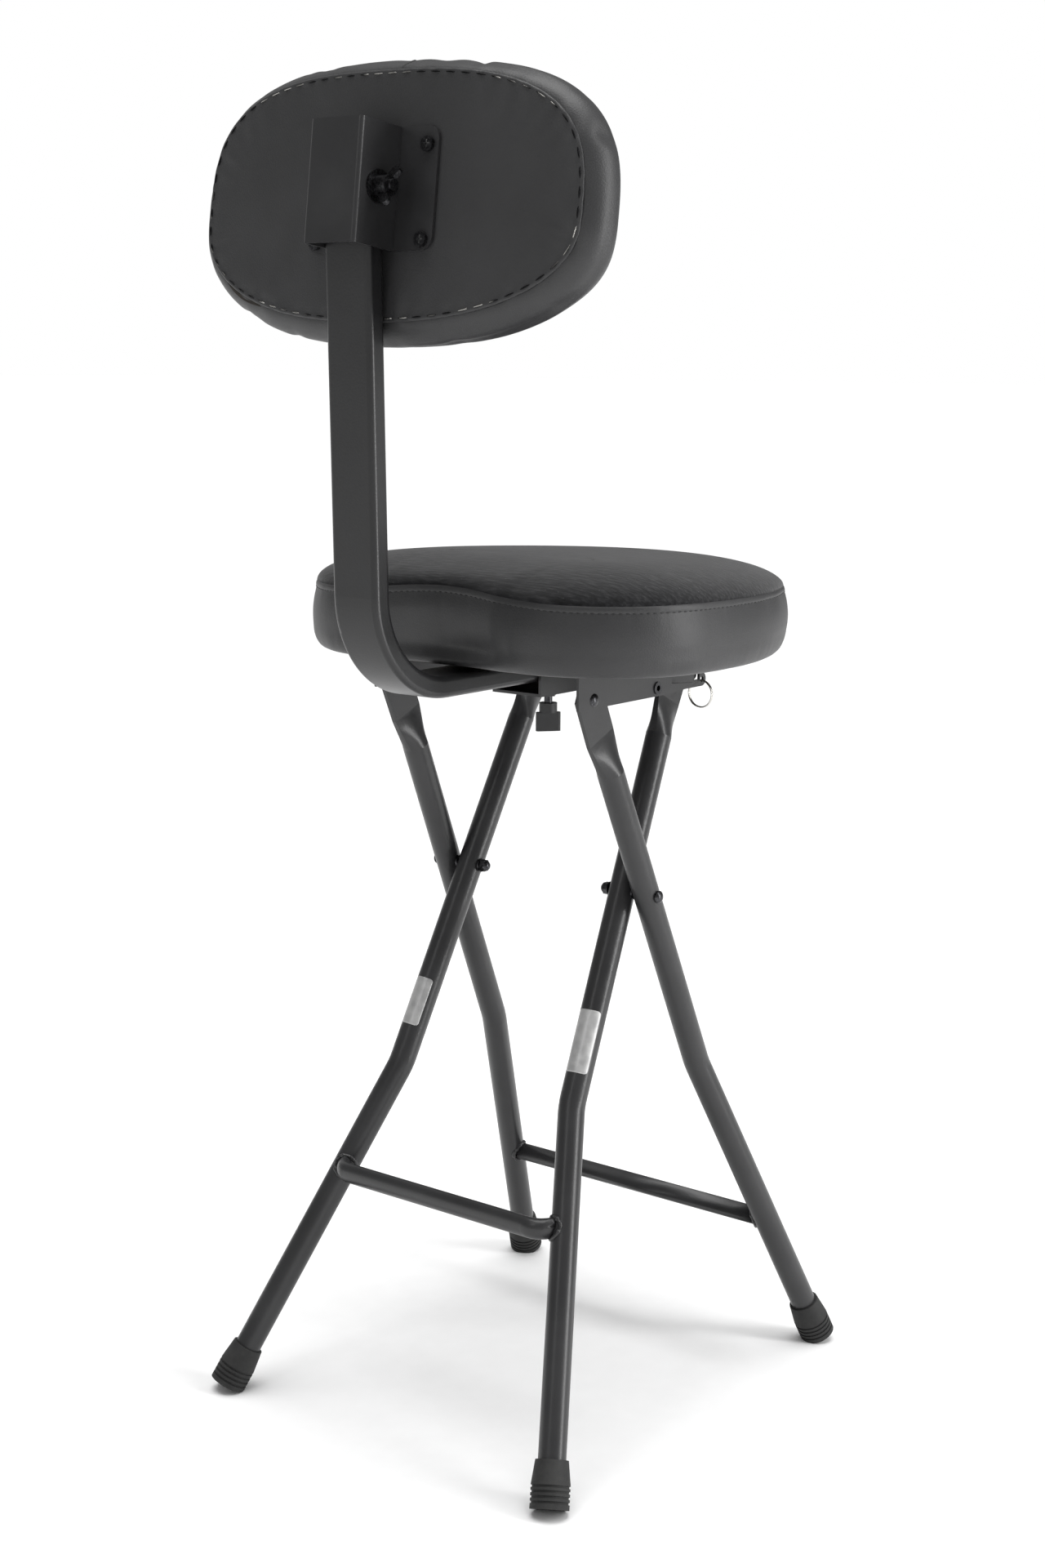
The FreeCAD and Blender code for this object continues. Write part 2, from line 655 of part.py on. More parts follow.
# Cross pivots: bolt from the outside, spacer between the legs, washer and dome nut inside
for hand, side in sides:
    turned("pivot_bolt_" + hand, "0", "cross_height", side, [
        ("pivot_nut_end + slip_clear", "0"),
        ("pivot_nut_end + slip_clear", "bolt_dia / 2"),
        ("pivot_head_seat", "bolt_dia / 2"),
        ("pivot_head_seat", "bolt_head_dia / 2"),
        ("pivot_head_seat + head_rim", "bolt_head_dia / 2", "-" + dome("bolt_head_dia / 2", "bolt_head_dome")),
        ("pivot_head_seat + head_rim + bolt_head_dome", "0"),
    ])
    ring("pivot_spacer_" + hand, "0", "cross_height", side, "inner_half + tube_radius + side_clear",
         "leg_gap - 2 * side_clear", "spacer_dia", "bolt_dia + 2 * pivot_clear")
    ring("pivot_washer_" + hand, "0", "cross_height", side, "pivot_nut_seat",
         "washer_thick", "washer_dia", "bolt_dia + 2 * pivot_clear")
    dome_nut = body("dome_nut_" + hand, "0", "cross_height")
    flats = sketch(dome_nut, "YZ", out="{} * pivot_nut_end".format(side))
    hexagon(flats, "nut_flats")
    circle(flats, "0", "0", "bolt_dia + 2 * pivot_clear")
    extrude(dome_nut, "Pad", flats, "nut_height", backward=side == "-1")
    cap = sketch(dome_nut, "XZ")
    outline(cap, [
        (side + " * (pivot_nut_end - nut_dome)", "0", "-{} * {}".format(side, dome("nut_flats / 2", "nut_dome"))),
        (side + " * pivot_nut_end", "nut_flats / 2"),
        (side + " * pivot_nut_end", "0"),
    ])
    turn_about(dome_nut, "Revolution", cap, "H_Axis")

# Seat hinge rivets through the outer legs, and latch studs on the inner legs
for hand, side in sides:
    turned("seat_rivet_" + hand, "hinge_y", "hinge_z", side, [
        ("rivet_inside - rivet_head_height", "0", "-" + dome("rivet_head_dia / 2", "rivet_head_height")),
        ("rivet_inside", "rivet_head_dia / 2"),
        ("rivet_inside", "rivet_dia / 2"),
        ("rivet_outside", "rivet_dia / 2"),
        ("rivet_outside", "rivet_head_dia / 2", "-" + dome("rivet_head_dia / 2", "rivet_head_height")),
        ("rivet_outside + rivet_head_height", "0"),
    ])
    turned("latch_stud_" + hand, "stud_y", "stud_z", side, [
        ("stud_seat - stud_head_height", "0", "-" + dome("stud_head_dia / 2", "stud_head_height")),
        ("stud_seat", "stud_head_dia / 2"),
        ("stud_seat", "stud_dia / 2"),
        ("stud_end", "stud_dia / 2"),
        ("stud_end", "0"),
    ])

# Seat bracket: a folded sheet with side flanges, front tongues and a plate that runs on to the front
bracket = body("seat_bracket", "hinge_y", "hinge_z")
fold_line = sketch(bracket, "XZ", out="-flange_behind")
inner_bend = "(sheet_bend - sheet_thick)"
outline(fold_line, [
    ("-bracket_half", "-flange_drop"),
    ("-bracket_half", "board_foot - sheet_bend", "-sheet_bend"),
    ("sheet_bend - bracket_half", "board_foot"),
    ("bracket_half - sheet_bend", "board_foot", "-sheet_bend"),
    ("bracket_half", "board_foot - sheet_bend"),
    ("bracket_half", "-flange_drop"),
    ("flange_inside", "-flange_drop"),
    ("flange_inside", "plate_rise - " + inner_bend, inner_bend),
    ("flange_inside - " + inner_bend, "plate_rise"),
    (inner_bend + " - flange_inside", "plate_rise", inner_bend),
    ("-flange_inside", "plate_rise - " + inner_bend),
    ("-flange_inside", "-flange_drop"),
])
extrude(bracket, "Pad", fold_line, "flange_behind + flange_ahead")
front_plate = sketch(bracket, "XY", out="plate_rise")
outline(front_plate, [
    ("-plate_front_half", "-flange_ahead"),
    ("-plate_front_half", "plate_corner - plate_front", "plate_corner"),
    ("plate_corner - plate_front_half", "-plate_front"),
    ("plate_front_half - plate_corner", "-plate_front", "plate_corner"),
    ("plate_front_half", "plate_corner - plate_front"),
    ("plate_front_half", "-flange_ahead"),
])
extrude(bracket, "Pad", front_plate, "sheet_thick")
for hand, side in sides:
    tongue = sketch(bracket, "YZ", out=side + " * (bracket_half - sheet_thick / 2)")
    outline(tongue, [
        ("-flange_ahead", "-flange_drop"),
        ("-flange_ahead", "tongue_height - flange_drop"),
        ("-tongue_ahead", "(tongue_height + tongue_tip) / 2 - flange_drop"),
        ("-tongue_ahead", "(tongue_height - tongue_tip) / 2 - flange_drop"),
    ])
    extrude(bracket, "Pad", tongue, "sheet_thick", both_ways=True)
hinge_holes = sketch(bracket, "YZ")
circle(hinge_holes, "0", "0", "rivet_dia + 2 * pivot_clear")
extrude(bracket, "Pocket", hinge_holes, "4 * bracket_half", both_ways=True)
eyelet_hole = sketch(bracket, "YZ", out="-bracket_half")
circle(eyelet_hole, "-eyelet_ahead", "0", "eyelet_dia + 2 * pivot_clear")
extrude(bracket, "Pocket", eyelet_hole, "4 * sheet_thick", both_ways=True)
seat_bolt_spots = [("rear", "-seat_bolt_rear"), ("front", "-seat_bolt_front")]
bolt_holes = sketch(bracket, "XY", out="plate_rise")
for end, ahead in seat_bolt_spots:
    for hand, side in sides:
        circle(bolt_holes, side + " * seat_bolt_half", ahead, "seat_bolt_dia + 2 * pivot_clear")
extrude(bracket, "Pocket", bolt_holes, "4 * sheet_thick", both_ways=True)

# Post receiver: a channel under the plate, with the clamp's weld nut below it
receiver = body("receiver", "hinge_y", "hinge_z")
channel = sketch(receiver, "XZ", out="channel_mouth")
channel_outside = "(channel_inside + channel_wall)"
outline(channel, [
    ("-" + channel_outside, "plate_rise"),
    ("-" + channel_outside, "channel_floor - channel_wall"),
    (channel_outside, "channel_floor - channel_wall"),
    (channel_outside, "plate_rise"),
    ("channel_inside", "plate_rise"),
    ("channel_inside", "channel_floor"),
    ("-channel_inside", "channel_floor"),
    ("-channel_inside", "plate_rise"),
])
extrude(receiver, "Pad", channel, "channel_end - channel_mouth")
clamp_hole = sketch(receiver, "XY", out="channel_floor")
circle(clamp_hole, "0", "-clamp_ahead", "clamp_dia + 4 * slip_clear")
extrude(receiver, "Pocket", clamp_hole, "4 * channel_wall", both_ways=True)
weld_nut = body("weld_nut", "hinge_y", "hinge_z")
nut_shape = sketch(weld_nut, "XY", out="nut_foot")
hexagon(nut_shape, "weld_nut_flats", "-clamp_ahead")
circle(nut_shape, "0", "-clamp_ahead", "clamp_dia + 2 * pivot_clear")
extrude(weld_nut, "Pad", nut_shape, "weld_nut_height")

# Clamp: a screw that presses the post up, and its collar and paddle grip
clamp_screw = body("clamp_screw", "hinge_y - clamp_ahead", "hinge_z")
screw_end = sketch(clamp_screw, "XY", out="collar_top")
circle(screw_end, "0", "0", "clamp_dia")
extrude(clamp_screw, "Pad", screw_end, "run_rise - post_depth / 2 - post_clear - collar_top")
clamp_knob = body("clamp_knob", "hinge_y - clamp_ahead", "hinge_z")
collar = sketch(clamp_knob, "XY", out="collar_top - collar_height")
circle(collar, "0", "0", "collar_dia")
extrude(clamp_knob, "Pad", collar, "collar_height")
paddle = sketch(clamp_knob, "XY", out="collar_top - collar_height", turn="paddle_turn")
rounded(paddle, "paddle_thick / 2", "paddle_width / 2", "paddle_edge")
extrude(clamp_knob, "Pad", paddle, "paddle_height", backward=True)

# Rest hooks: plates under the front of the bracket that sit on the studs
for hand, side in sides:
    hook = body("rest_hook_" + hand, "hinge_y", "hinge_z")
    hook_shape = sketch(hook, "YZ", out=side + " * hook_half")
    hook_front = "(stud_y - hinge_y - stud_dia / 2 - soft_clear)"
    hook_under = "stud_z - hinge_z + stud_dia / 2 + soft_clear"
    outline(hook_shape, [
        (hook_front + " - hook_wall", "plate_rise"),
        (hook_front + " - hook_wall", "stud_z - hinge_z - hook_lip"),
        (hook_front, "stud_z - hinge_z - hook_lip"),
        (hook_front, hook_under),
        ("stud_y - hinge_y + stud_dia / 2 + hook_wall", hook_under),
        ("stud_y - hinge_y + stud_dia / 2 + hook_wall", "plate_rise"),
    ])
    extrude(hook, "Pad", hook_shape, "hook_thick", both_ways=True)

# Latch: a hollow rivet with its spacer, a notched lever and a pull ring, on the right
turned("latch_eyelet", "hinge_y - eyelet_ahead", "hinge_z", "-1", [
    ("lever_inside - slip_clear - eyelet_rim", "eyelet_hole / 2"),
    ("lever_inside - slip_clear - eyelet_rim", "eyelet_lip / 2"),
    ("lever_inside - slip_clear", "eyelet_lip / 2"),
    ("lever_inside - slip_clear", "eyelet_dia / 2"),
    ("lever_inside + lever_thick + slip_clear", "eyelet_dia / 2"),
    ("lever_inside + lever_thick + slip_clear", "eyelet_lip / 2"),
    ("flange_inside", "eyelet_lip / 2"),
    ("flange_inside", "eyelet_dia / 2"),
    ("bracket_half", "eyelet_dia / 2"),
    ("bracket_half", "eyelet_lip / 2"),
    ("bracket_half + eyelet_rim", "eyelet_lip / 2"),
    ("bracket_half + eyelet_rim", "eyelet_hole / 2"),
])
lever = body("latch_lever", "hinge_y - eyelet_ahead", "hinge_z")
lever_shape = sketch(lever, "YZ", out="-lever_half")
outline(lever_shape, [
    ("0", "lever_boss"),
    ("-lever_end", "lever_tip - lever_drop", "lever_tip"),
    ("-lever_end - lever_tip", "-lever_drop", "lever_tip"),
    ("-lever_end", "-lever_tip - lever_drop"),
    ("0", "-lever_boss", "lever_boss"),
    ("lever_boss", "0", "lever_boss"),
])
circle(lever_shape, "0", "0", "eyelet_dia + 2 * pivot_clear")
circle(lever_shape, "-lever_end", "-lever_drop", "ring_hole")
extrude(lever, "Pad", lever_shape, "lever_thick", both_ways=True)
notch = sketch(lever, "YZ", out="-lever_half")
notch_y = "(eyelet_ahead - stud_ahead)"
notch_room = "(stud_dia / 2 + slip_clear)"
rectangle(notch, notch_y + " - " + notch_room, "stud_z - hinge_z - " + notch_room,
          notch_y + " + " + notch_room, "2 * lever_boss")
extrude(lever, "Pocket", notch, "2 * lever_thick", both_ways=True)
pull_ring = body("pull_ring", "hinge_y - eyelet_ahead - lever_end", "hinge_z - ring_drop - ring_radius")
wire = sketch(pull_ring, "XY", across="-lever_half")
circle(wire, "ring_radius", "0", "ring_wire")
turn_about(pull_ring, "Revolution", wire, "V_Axis")

# Back post: a flat tube bent into a J, with a plug in each end
back_post = body("back_post", "hinge_y", "hinge_z")
post_path = sketch(back_post, "YZ")
outline(post_path, [
    ("-post_ahead", "run_rise"),
    ("post_behind - post_bend_run", "run_rise", "post_bend_radius"),
    ("post_behind + post_bend_run * sin(post_lean)", "run_rise + post_bend_run * cos(post_lean)"),
    ("post_behind + post_rise * tan(post_lean)", "run_rise + post_rise"),
], closed=False)
post_section = sketch(back_post, "XZ", up="run_rise", out="post_ahead")
rounded(post_section, "post_width / 2", "post_depth / 2", "post_corner")
rounded(post_section, "(post_width / 2 - post_wall)", "(post_depth / 2 - post_wall)",
        "(post_corner - post_wall)")
pipe(back_post, post_section, post_path)
post_hole = sketch(back_post, "YZ")
circle(post_hole, "post_behind + bolt_above_run * tan(post_lean)", "run_rise + bolt_above_run",
       "tilt_bolt_dia + 2 * pivot_clear")
extrude(back_post, "Pocket", post_hole, "2 * post_width", both_ways=True)
front_plug = body("post_plug_front", "hinge_y - post_ahead", "hinge_z + run_rise", "90")
top_plug = body("post_plug_top", "hinge_y + post_behind + post_rise * tan(post_lean)",
                "hinge_z + run_rise + post_rise", "-post_lean")
for plug in (front_plug, top_plug):
    cap = sketch(plug, "XY")
    rounded(cap, "post_width / 2", "post_depth / 2", "post_corner")
    extrude(plug, "Pad", cap, "plug_thick")
    core = sketch(plug, "XY")
    rounded(core, "(post_width / 2 - post_wall - pivot_clear)", "(post_depth / 2 - post_wall - pivot_clear)",
            "(post_corner - post_wall)")
    extrude(plug, "Pad", core, "plug_depth", backward=True)


def seat_outline(drawing, inset):
    """The seat seen from above, drawn in by an inset: rear notch, lobes, sides and front."""
    spots = []
    for name, heading in (("notch", "seat_notch_turn"), ("lobe", "-seat_lobe_turn"), ("side", "-seat_side_turn")):
        spots.append(("(seat_{}_x + {} * sin({}))".format(name, inset, heading),
                      "seat_{}_y - {} * cos({})".format(name, inset, heading)))
    notch, lobe, edge = spots
    lobe_radius = "-(seat_lobe_radius - {})".format(inset)
    side_radius = "-(seat_side_radius - {})".format(inset)
    outline(drawing, [
        ("-" + notch[0], notch[1], "seat_notch_radius + {}".format(inset)),
        notch + (lobe_radius,),
        lobe + (side_radius,),
        edge + ("-(seat_front_radius - {})".format(inset),),
        ("-" + edge[0], edge[1], side_radius),
        ("-" + lobe[0], lobe[1], lobe_radius),
    ])


# Seat: a board bolted to the bracket, and a crowned cushion wrapped round the board's edge
seat_board = body("seat_board", "hinge_y", "hinge_z")
board_shape = sketch(seat_board, "XY", out="board_foot")
seat_outline(board_shape, "board_inset")
for end, ahead in seat_bolt_spots:
    for hand, side in sides:
        circle(board_shape, side + " * seat_bolt_half", ahead, "seat_bolt_dia + 2 * pivot_clear")
extrude(seat_board, "Pad", board_shape, "board_thick")
cushion = body("seat_cushion", "hinge_y", "hinge_z")
band_levels = [
    ("seat_roll", "0"),
    ("0.3 * seat_roll", "0.25 * seat_roll_height"),
    ("0", "seat_roll_height"),
    ("0.25 * seat_draw", "(seat_roll_height + seat_band) / 2"),
    ("seat_draw", "seat_band"),
]
# The crown rises as a quarter ellipse from the seam
crown_levels = []
for angle in (22, 45, 68, 90):
    inset = "seat_draw + seat_crown_run * (1 - cos({}))".format(angle)
    crown_levels.append((inset, "seat_band + seat_crown * sin({})".format(angle)))
sections = []
for inset, level in band_levels + crown_levels:
    section = sketch(cushion, "XY", out="seat_foot + {}".format(level))
    seat_outline(section, "({})".format(inset))
    sections.append(section)
# Roll, band, shoulder and crown each run smoothly through three levels
for first in range(0, len(sections) - 1, 2):
    loft(cushion, sections[first:first + 3])
recess = sketch(cushion, "XY", out="seat_foot")
seat_outline(recess, "(board_inset - soft_clear)")
extrude(cushion, "Pocket", recess, "board_foot + board_thick + soft_clear - seat_foot", backward=True)
for end, ahead in seat_bolt_spots:
    for hand, side in sides:
        seat_bolt = body("seat_bolt_{}_{}".format(end, hand), "hinge_y + " + ahead, "hinge_z + plate_rise")
        head = sketch(seat_bolt, "XY")
        circle(head, side + " * seat_bolt_half", "0", "seat_bolt_head")
        extrude(seat_bolt, "Pad", head, "seat_bolt_head_height", backward=True)
        shank = sketch(seat_bolt, "XY")
        circle(shank, side + " * seat_bolt_half", "0", "seat_bolt_dia")
        extrude(seat_bolt, "Pad", shank, "sheet_thick + board_thick")

# Back bracket: a hat-shaped sheet round the top of the post
hat = body("back_bracket", "tilt_y", "tilt_z", "back_tilt")
hat_section = sketch(hat, "XY", out="-hat_below")
outline(hat_section, [
    ("-hat_half", "pad_back"),
    ("-hat_half", "hat_crown - hat_bend", "-hat_bend"),
    ("hat_bend - hat_half", "hat_crown"),
    ("hat_half - hat_bend", "hat_crown", "-hat_bend"),
    ("hat_half", "hat_crown - hat_bend"),
    ("hat_half", "pad_back"),
    ("hat_inside", "pad_back"),
    ("hat_inside", "hat_crown - sheet_thick"),
    ("-hat_inside", "hat_crown - sheet_thick"),
    ("-hat_inside", "pad_back"),
])
extrude(hat, "Pad", hat_section, "hat_below + hat_above")
for hand, side in sides:
    flange = sketch(hat, "XZ", out="-pad_back - sheet_thick")
    outline(flange, [
        (side + " * hat_inside", "-hat_below"),
        (side + " * (hat_flange_half - hat_corner)", "-hat_below", side + " * hat_corner"),
        (side + " * hat_flange_half", "hat_corner - hat_below"),
        (side + " * hat_flange_half", "hat_above - hat_corner", side + " * hat_corner"),
        (side + " * (hat_flange_half - hat_corner)", "hat_above"),
        (side + " * hat_inside", "hat_above"),
    ])
    extrude(hat, "Pad", flange, "sheet_thick")
tilt_holes = sketch(hat, "YZ")
circle(tilt_holes, "0", "0", "tilt_bolt_dia + 2 * pivot_clear")
extrude(hat, "Pocket", tilt_holes, "4 * hat_half", both_ways=True)
screw_spots = [("upper", "screw_above"), ("lower", "-screw_below")]
screw_half = "(hat_flange_half - screw_inset)"
screw_holes = sketch(hat, "XZ", out="-pad_back")
for end, level in screw_spots:
    for hand, side in sides:
        circle(screw_holes, "{} * {}".format(side, screw_half), level, "screw_dia + 2 * pivot_clear")
extrude(hat, "Pocket", screw_holes, "4 * sheet_thick", both_ways=True)
for end, level in screw_spots:
    for hand, side in sides:
        screw = body("bracket_screw_{}_{}".format(end, hand), "tilt_y", "tilt_z", "back_tilt")
        spot = "{} * {}".format(side, screw_half)
        head = sketch(screw, "XZ", out="-pad_back - sheet_thick")
        circle(head, spot, level, "screw_head")
        extrude(screw, "Pad", head, "screw_head_height", backward=True)
        shank = sketch(screw, "XZ", out="-pad_back - sheet_thick")
        circle(shank, spot, level, "screw_dia")
        extrude(screw, "Pad", shank, "sheet_thick + pad_board_thick")

# Tilt bolt with its washer and wing nut
turned("tilt_bolt", "tilt_y", "tilt_z", "1", [
    ("-tilt_bolt_end", "0"),
    ("-tilt_bolt_end", "tilt_bolt_dia / 2"),
    ("hat_half", "tilt_bolt_dia / 2"),
    ("hat_half", "tilt_head_dia / 2", "-" + dome("tilt_head_dia / 2", "tilt_head_height")),
    ("hat_half + tilt_head_height", "0"),
], "back_tilt")
ring("tilt_washer", "tilt_y", "tilt_z", "-1", "hat_half", "tilt_washer_thick", "tilt_washer_dia",
     "tilt_bolt_dia + 2 * pivot_clear", "back_tilt")
wing_nut = ring("wing_nut", "tilt_y", "tilt_z", "-1", "wing_seat", "wing_hub_height", "wing_hub_dia",
                "tilt_bolt_dia + 2 * pivot_clear", "back_tilt")
wings = sketch(wing_nut, "XZ", turn="wing_turn", axis=(1, 0, 0))
for way in ("1", "-1"):
    outline(wings, [
        ("-wing_seat - wing_thick / 2", way + " * (wing_hub_dia / 2 - wing_thick / 2)"),
        ("-wing_seat - wing_hub_height", way + " * (wing_hub_dia / 2 - wing_thick / 2)"),
        ("-wing_seat - wing_hub_height - wing_rise / 2", way + " * (wing_span / 2 - wing_rise / 2)",
         "-{} * wing_rise / 2".format(way)),
        ("-wing_seat - wing_hub_height", way + " * wing_span / 2", "-{} * wing_rise / 2".format(way)),
        ("-wing_seat - wing_hub_height + wing_rise / 2", way + " * (wing_span / 2 - wing_rise / 2)"),
    ])
extrude(wing_nut, "Pad", wings, "wing_thick", both_ways=True)


def curved_board(label, grow):
    """The bent back board, or with a growth the room that the cushion leaves for it."""
    piece = body(label, "tilt_y", "tilt_z", "back_tilt")
    strip_half = "(pad_board_half + 2 * pad_board_thick)"
    back_radius = "(pad_curve + {})".format(grow)
    front_radius = "(pad_curve - pad_board_thick - {})".format(grow)
    back_edge = "pad_back - pad_curve + sqrt({0} * {0} - {1} * {1})".format(back_radius, strip_half)
    front_edge = "pad_back - pad_curve + sqrt({0} * {0} - {1} * {1})".format(front_radius, strip_half)
    strip = sketch(piece, "XY", out="-2 * pad_board_bottom")
    outline(strip, [
        ("-" + strip_half, back_edge, "-" + back_radius),
        (strip_half, back_edge),
        (strip_half, front_edge, front_radius),
        ("-" + strip_half, front_edge),
    ])
    extrude(piece, "Pad", strip, "2 * pad_board_bottom + 2 * pad_board_top")
    # Everything outside the board's outline is cut away
    waste = sketch(piece, "XZ")
    rectangle(waste, "-2 * pad_board_half", "-3 * pad_board_bottom", "2 * pad_board_half", "3 * pad_board_top")
    half = "(pad_board_half + {})".format(grow)
    shoulder = "(pad_board_shoulder + {} * sin(pad_board_turn))".format(grow)
    corner = "(pad_board_corner + {})".format(grow)
    crown = "(pad_board_crown + {})".format(grow)
    upper = "(pad_board_top + {} - {} * (1 - cos(pad_board_turn)))".format(grow, crown)
    lower = "({} * (1 - cos(pad_board_turn)) - pad_board_bottom - {})".format(crown, grow)
    drop = "{} * cos(pad_board_turn)".format(corner)
    outline(waste, [
        ("-" + shoulder, lower, crown),
        (shoulder, lower, corner),
        (half, "{} + {}".format(lower, drop)),
        (half, "{} - {}".format(upper, drop), corner),
        (shoulder, upper, crown),
        ("-" + shoulder, upper, corner),
        ("-" + half, "{} - {}".format(upper, drop)),
        ("-" + half, "{} + {}".format(lower, drop), corner),
    ])
    extrude(piece, "Pocket", waste, "4 * pad_thick", both_ways=True)
    return piece


# Back pad: a bent board, and a cushion that follows its curve and folds round its edge
back_board = curved_board("back_board", "0")
board_holes = sketch(back_board, "XZ")
for end, level in screw_spots:
    for hand, side in sides:
        circle(board_holes, "{} * {}".format(side, screw_half), level, "screw_dia + 2 * pivot_clear")
extrude(back_board, "Pocket", board_holes, "4 * pad_thick", both_ways=True)
stuffing = body("back_stuffing", "tilt_y", "tilt_z", "back_tilt")
sections = []
for share in (-0.995, -0.97, -0.9, -0.78, -0.58, -0.3, 0, 0.3, 0.58, 0.78, 0.9, 0.97, 0.995):
    out = "{} * pad_half".format(share)
    top_share = "(1 - {} ^ pad_top_power) ^ (1 / pad_top_power)".format(abs(share))
    bottom_share = "(1 - {} ^ pad_bottom_power) ^ (1 / pad_bottom_power)".format(abs(share))
    # The pad thins towards its ends as a rounded end does
    thin = (1 - share ** 6) ** (1 / 6)
    top = "(pad_top * {} - pad_waist)".format(top_share)
    bottom = "(-pad_waist - pad_bottom * {})".format(bottom_share)
    fold_top = "(pad_fold * {})".format(top_share)
    fold_bottom = "(pad_fold * {})".format(bottom_share)
    edge_thick = "({} * pad_edge_thick)".format(thin)
    swell = "({} * (pad_thick - pad_edge_thick))".format(thin)
    back = "(pad_back - pad_curve + sqrt(pad_curve * pad_curve - ({0}) * ({0})))".format(out)
    front = "({} - {})".format(back, edge_thick)
    half_front = "({} - {} - {} + {}) / 2".format(top, fold_top, fold_bottom, "-" + bottom)
    section = sketch(stuffing, "YZ", out=out)
    outline(section, [
        (back, "{} + {}".format(bottom, fold_bottom)),
        (back, "{} - {}".format(top, fold_top), dome(edge_thick + " / 2", fold_top)),
        (front, "{} - {}".format(top, fold_top), dome(half_front, swell)),
        (front, "{} + {}".format(bottom, fold_bottom), dome(edge_thick + " / 2", fold_bottom)),
    ])
    sections.append(section)
loft(stuffing, sections)
board_room = curved_board("back_board_room", "soft_clear")
back_cushion = doc.addObject("Part::Cut", "back_cushion")
back_cushion.Label = "back_cushion"
back_cushion.Base = stuffing
back_cushion.Tool = board_room
pieces.remove(stuffing)
pieces.remove(board_room)
pieces.append(back_cushion)

doc.recompute()
faults = [item.Label for item in doc.Objects if "Invalid" in item.State or "Error" in item.State]
faults += [piece.Label for piece in pieces if piece.Shape.isNull() or not piece.Shape.isValid()]
if faults:
    raise RuntimeError("These failed: " + ", ".join(faults))

os.makedirs("parts", exist_ok=True)
for piece in pieces:
    piece.Shape.exportStep("parts/{}.step".format(piece.Label))
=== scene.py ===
import json
import math

import bpy
import numpy as np
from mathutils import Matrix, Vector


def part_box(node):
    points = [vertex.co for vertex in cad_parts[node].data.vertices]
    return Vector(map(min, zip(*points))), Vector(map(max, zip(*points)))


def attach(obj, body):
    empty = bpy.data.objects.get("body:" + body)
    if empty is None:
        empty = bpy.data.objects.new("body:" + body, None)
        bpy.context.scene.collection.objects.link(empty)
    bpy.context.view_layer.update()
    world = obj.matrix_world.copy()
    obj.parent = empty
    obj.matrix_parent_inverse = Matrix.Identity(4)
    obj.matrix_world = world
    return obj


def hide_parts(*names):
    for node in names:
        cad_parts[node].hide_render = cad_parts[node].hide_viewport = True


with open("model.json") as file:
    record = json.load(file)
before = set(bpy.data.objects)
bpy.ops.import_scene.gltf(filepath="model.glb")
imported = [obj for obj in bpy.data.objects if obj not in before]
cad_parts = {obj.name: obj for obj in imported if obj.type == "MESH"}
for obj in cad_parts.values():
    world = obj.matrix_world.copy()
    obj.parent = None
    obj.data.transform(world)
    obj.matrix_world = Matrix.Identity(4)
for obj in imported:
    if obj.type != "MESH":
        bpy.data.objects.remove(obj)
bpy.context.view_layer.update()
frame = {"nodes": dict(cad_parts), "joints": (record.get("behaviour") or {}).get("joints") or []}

# Leg frames: two pairs of bent 19 mm steel tubes, each pair welded to its own cross bar.
# The tubes are pressed flat at the top, then everything is coated with black satin powder,
# baked to an even skin with a faint orange peel.
MM = 0.001
joined_within = 0.01
# The bars are drawn fuller than their tube by these radii
bar_fuller = {"front_bar": 0.8, "rear_bar": 1.2}


def linear(code):
    """An sRGB hex colour as linear RGBA, by the sRGB curve."""
    parts = np.array([int(code[place:place + 2], 16) for place in (1, 3, 5)]) / 255
    light = np.where(parts <= 0.04045, parts / 12.92, ((parts + 0.055) / 1.055) ** 2.4)
    return (*light.tolist(), 1.0)


def add(tree, kind, inputs=None, stops=(), **settings):
    """One node: its settings, its inputs, constants or other nodes' outputs, and a ramp's colour stops."""
    made = tree.nodes.new(kind)
    for name, value in settings.items():
        setattr(made, name, value)
    for name, value in (inputs or {}).items():
        if isinstance(value, bpy.types.NodeSocket):
            tree.links.new(value, made.inputs[name])
        else:
            made.inputs[name].default_value = value
    if stops:
        points = made.color_ramp.elements
        while len(points) < len(stops):
            points.new(0.5)
        for point, (spot, code) in zip(points, stops):
            point.position = spot
            point.color = linear(code)
    return made


def per(size):
    """A pattern's scale for a feature of a size in millimetres: one over the size in metres."""
    return 1 / (size * MM)


def new_finish(name):
    """An empty material and its node tree, with the piece's own coordinates in metres."""
    material = bpy.data.materials.new(name)
    material.use_nodes = True
    tree = material.node_tree
    tree.nodes.clear()
    place = add(tree, "ShaderNodeTexCoord").outputs["Object"]
    return material, tree, place


def dress(material, *names):
    """Puts a material on CAD nodes."""
    for name in names:
        slots = frame["nodes"][name].data.materials
        slots.clear()
        slots.append(material)


def both(*names):
    """Each name with its left and right hand."""
    return [name + hand for name in names for hand in ("_left", "_right")]


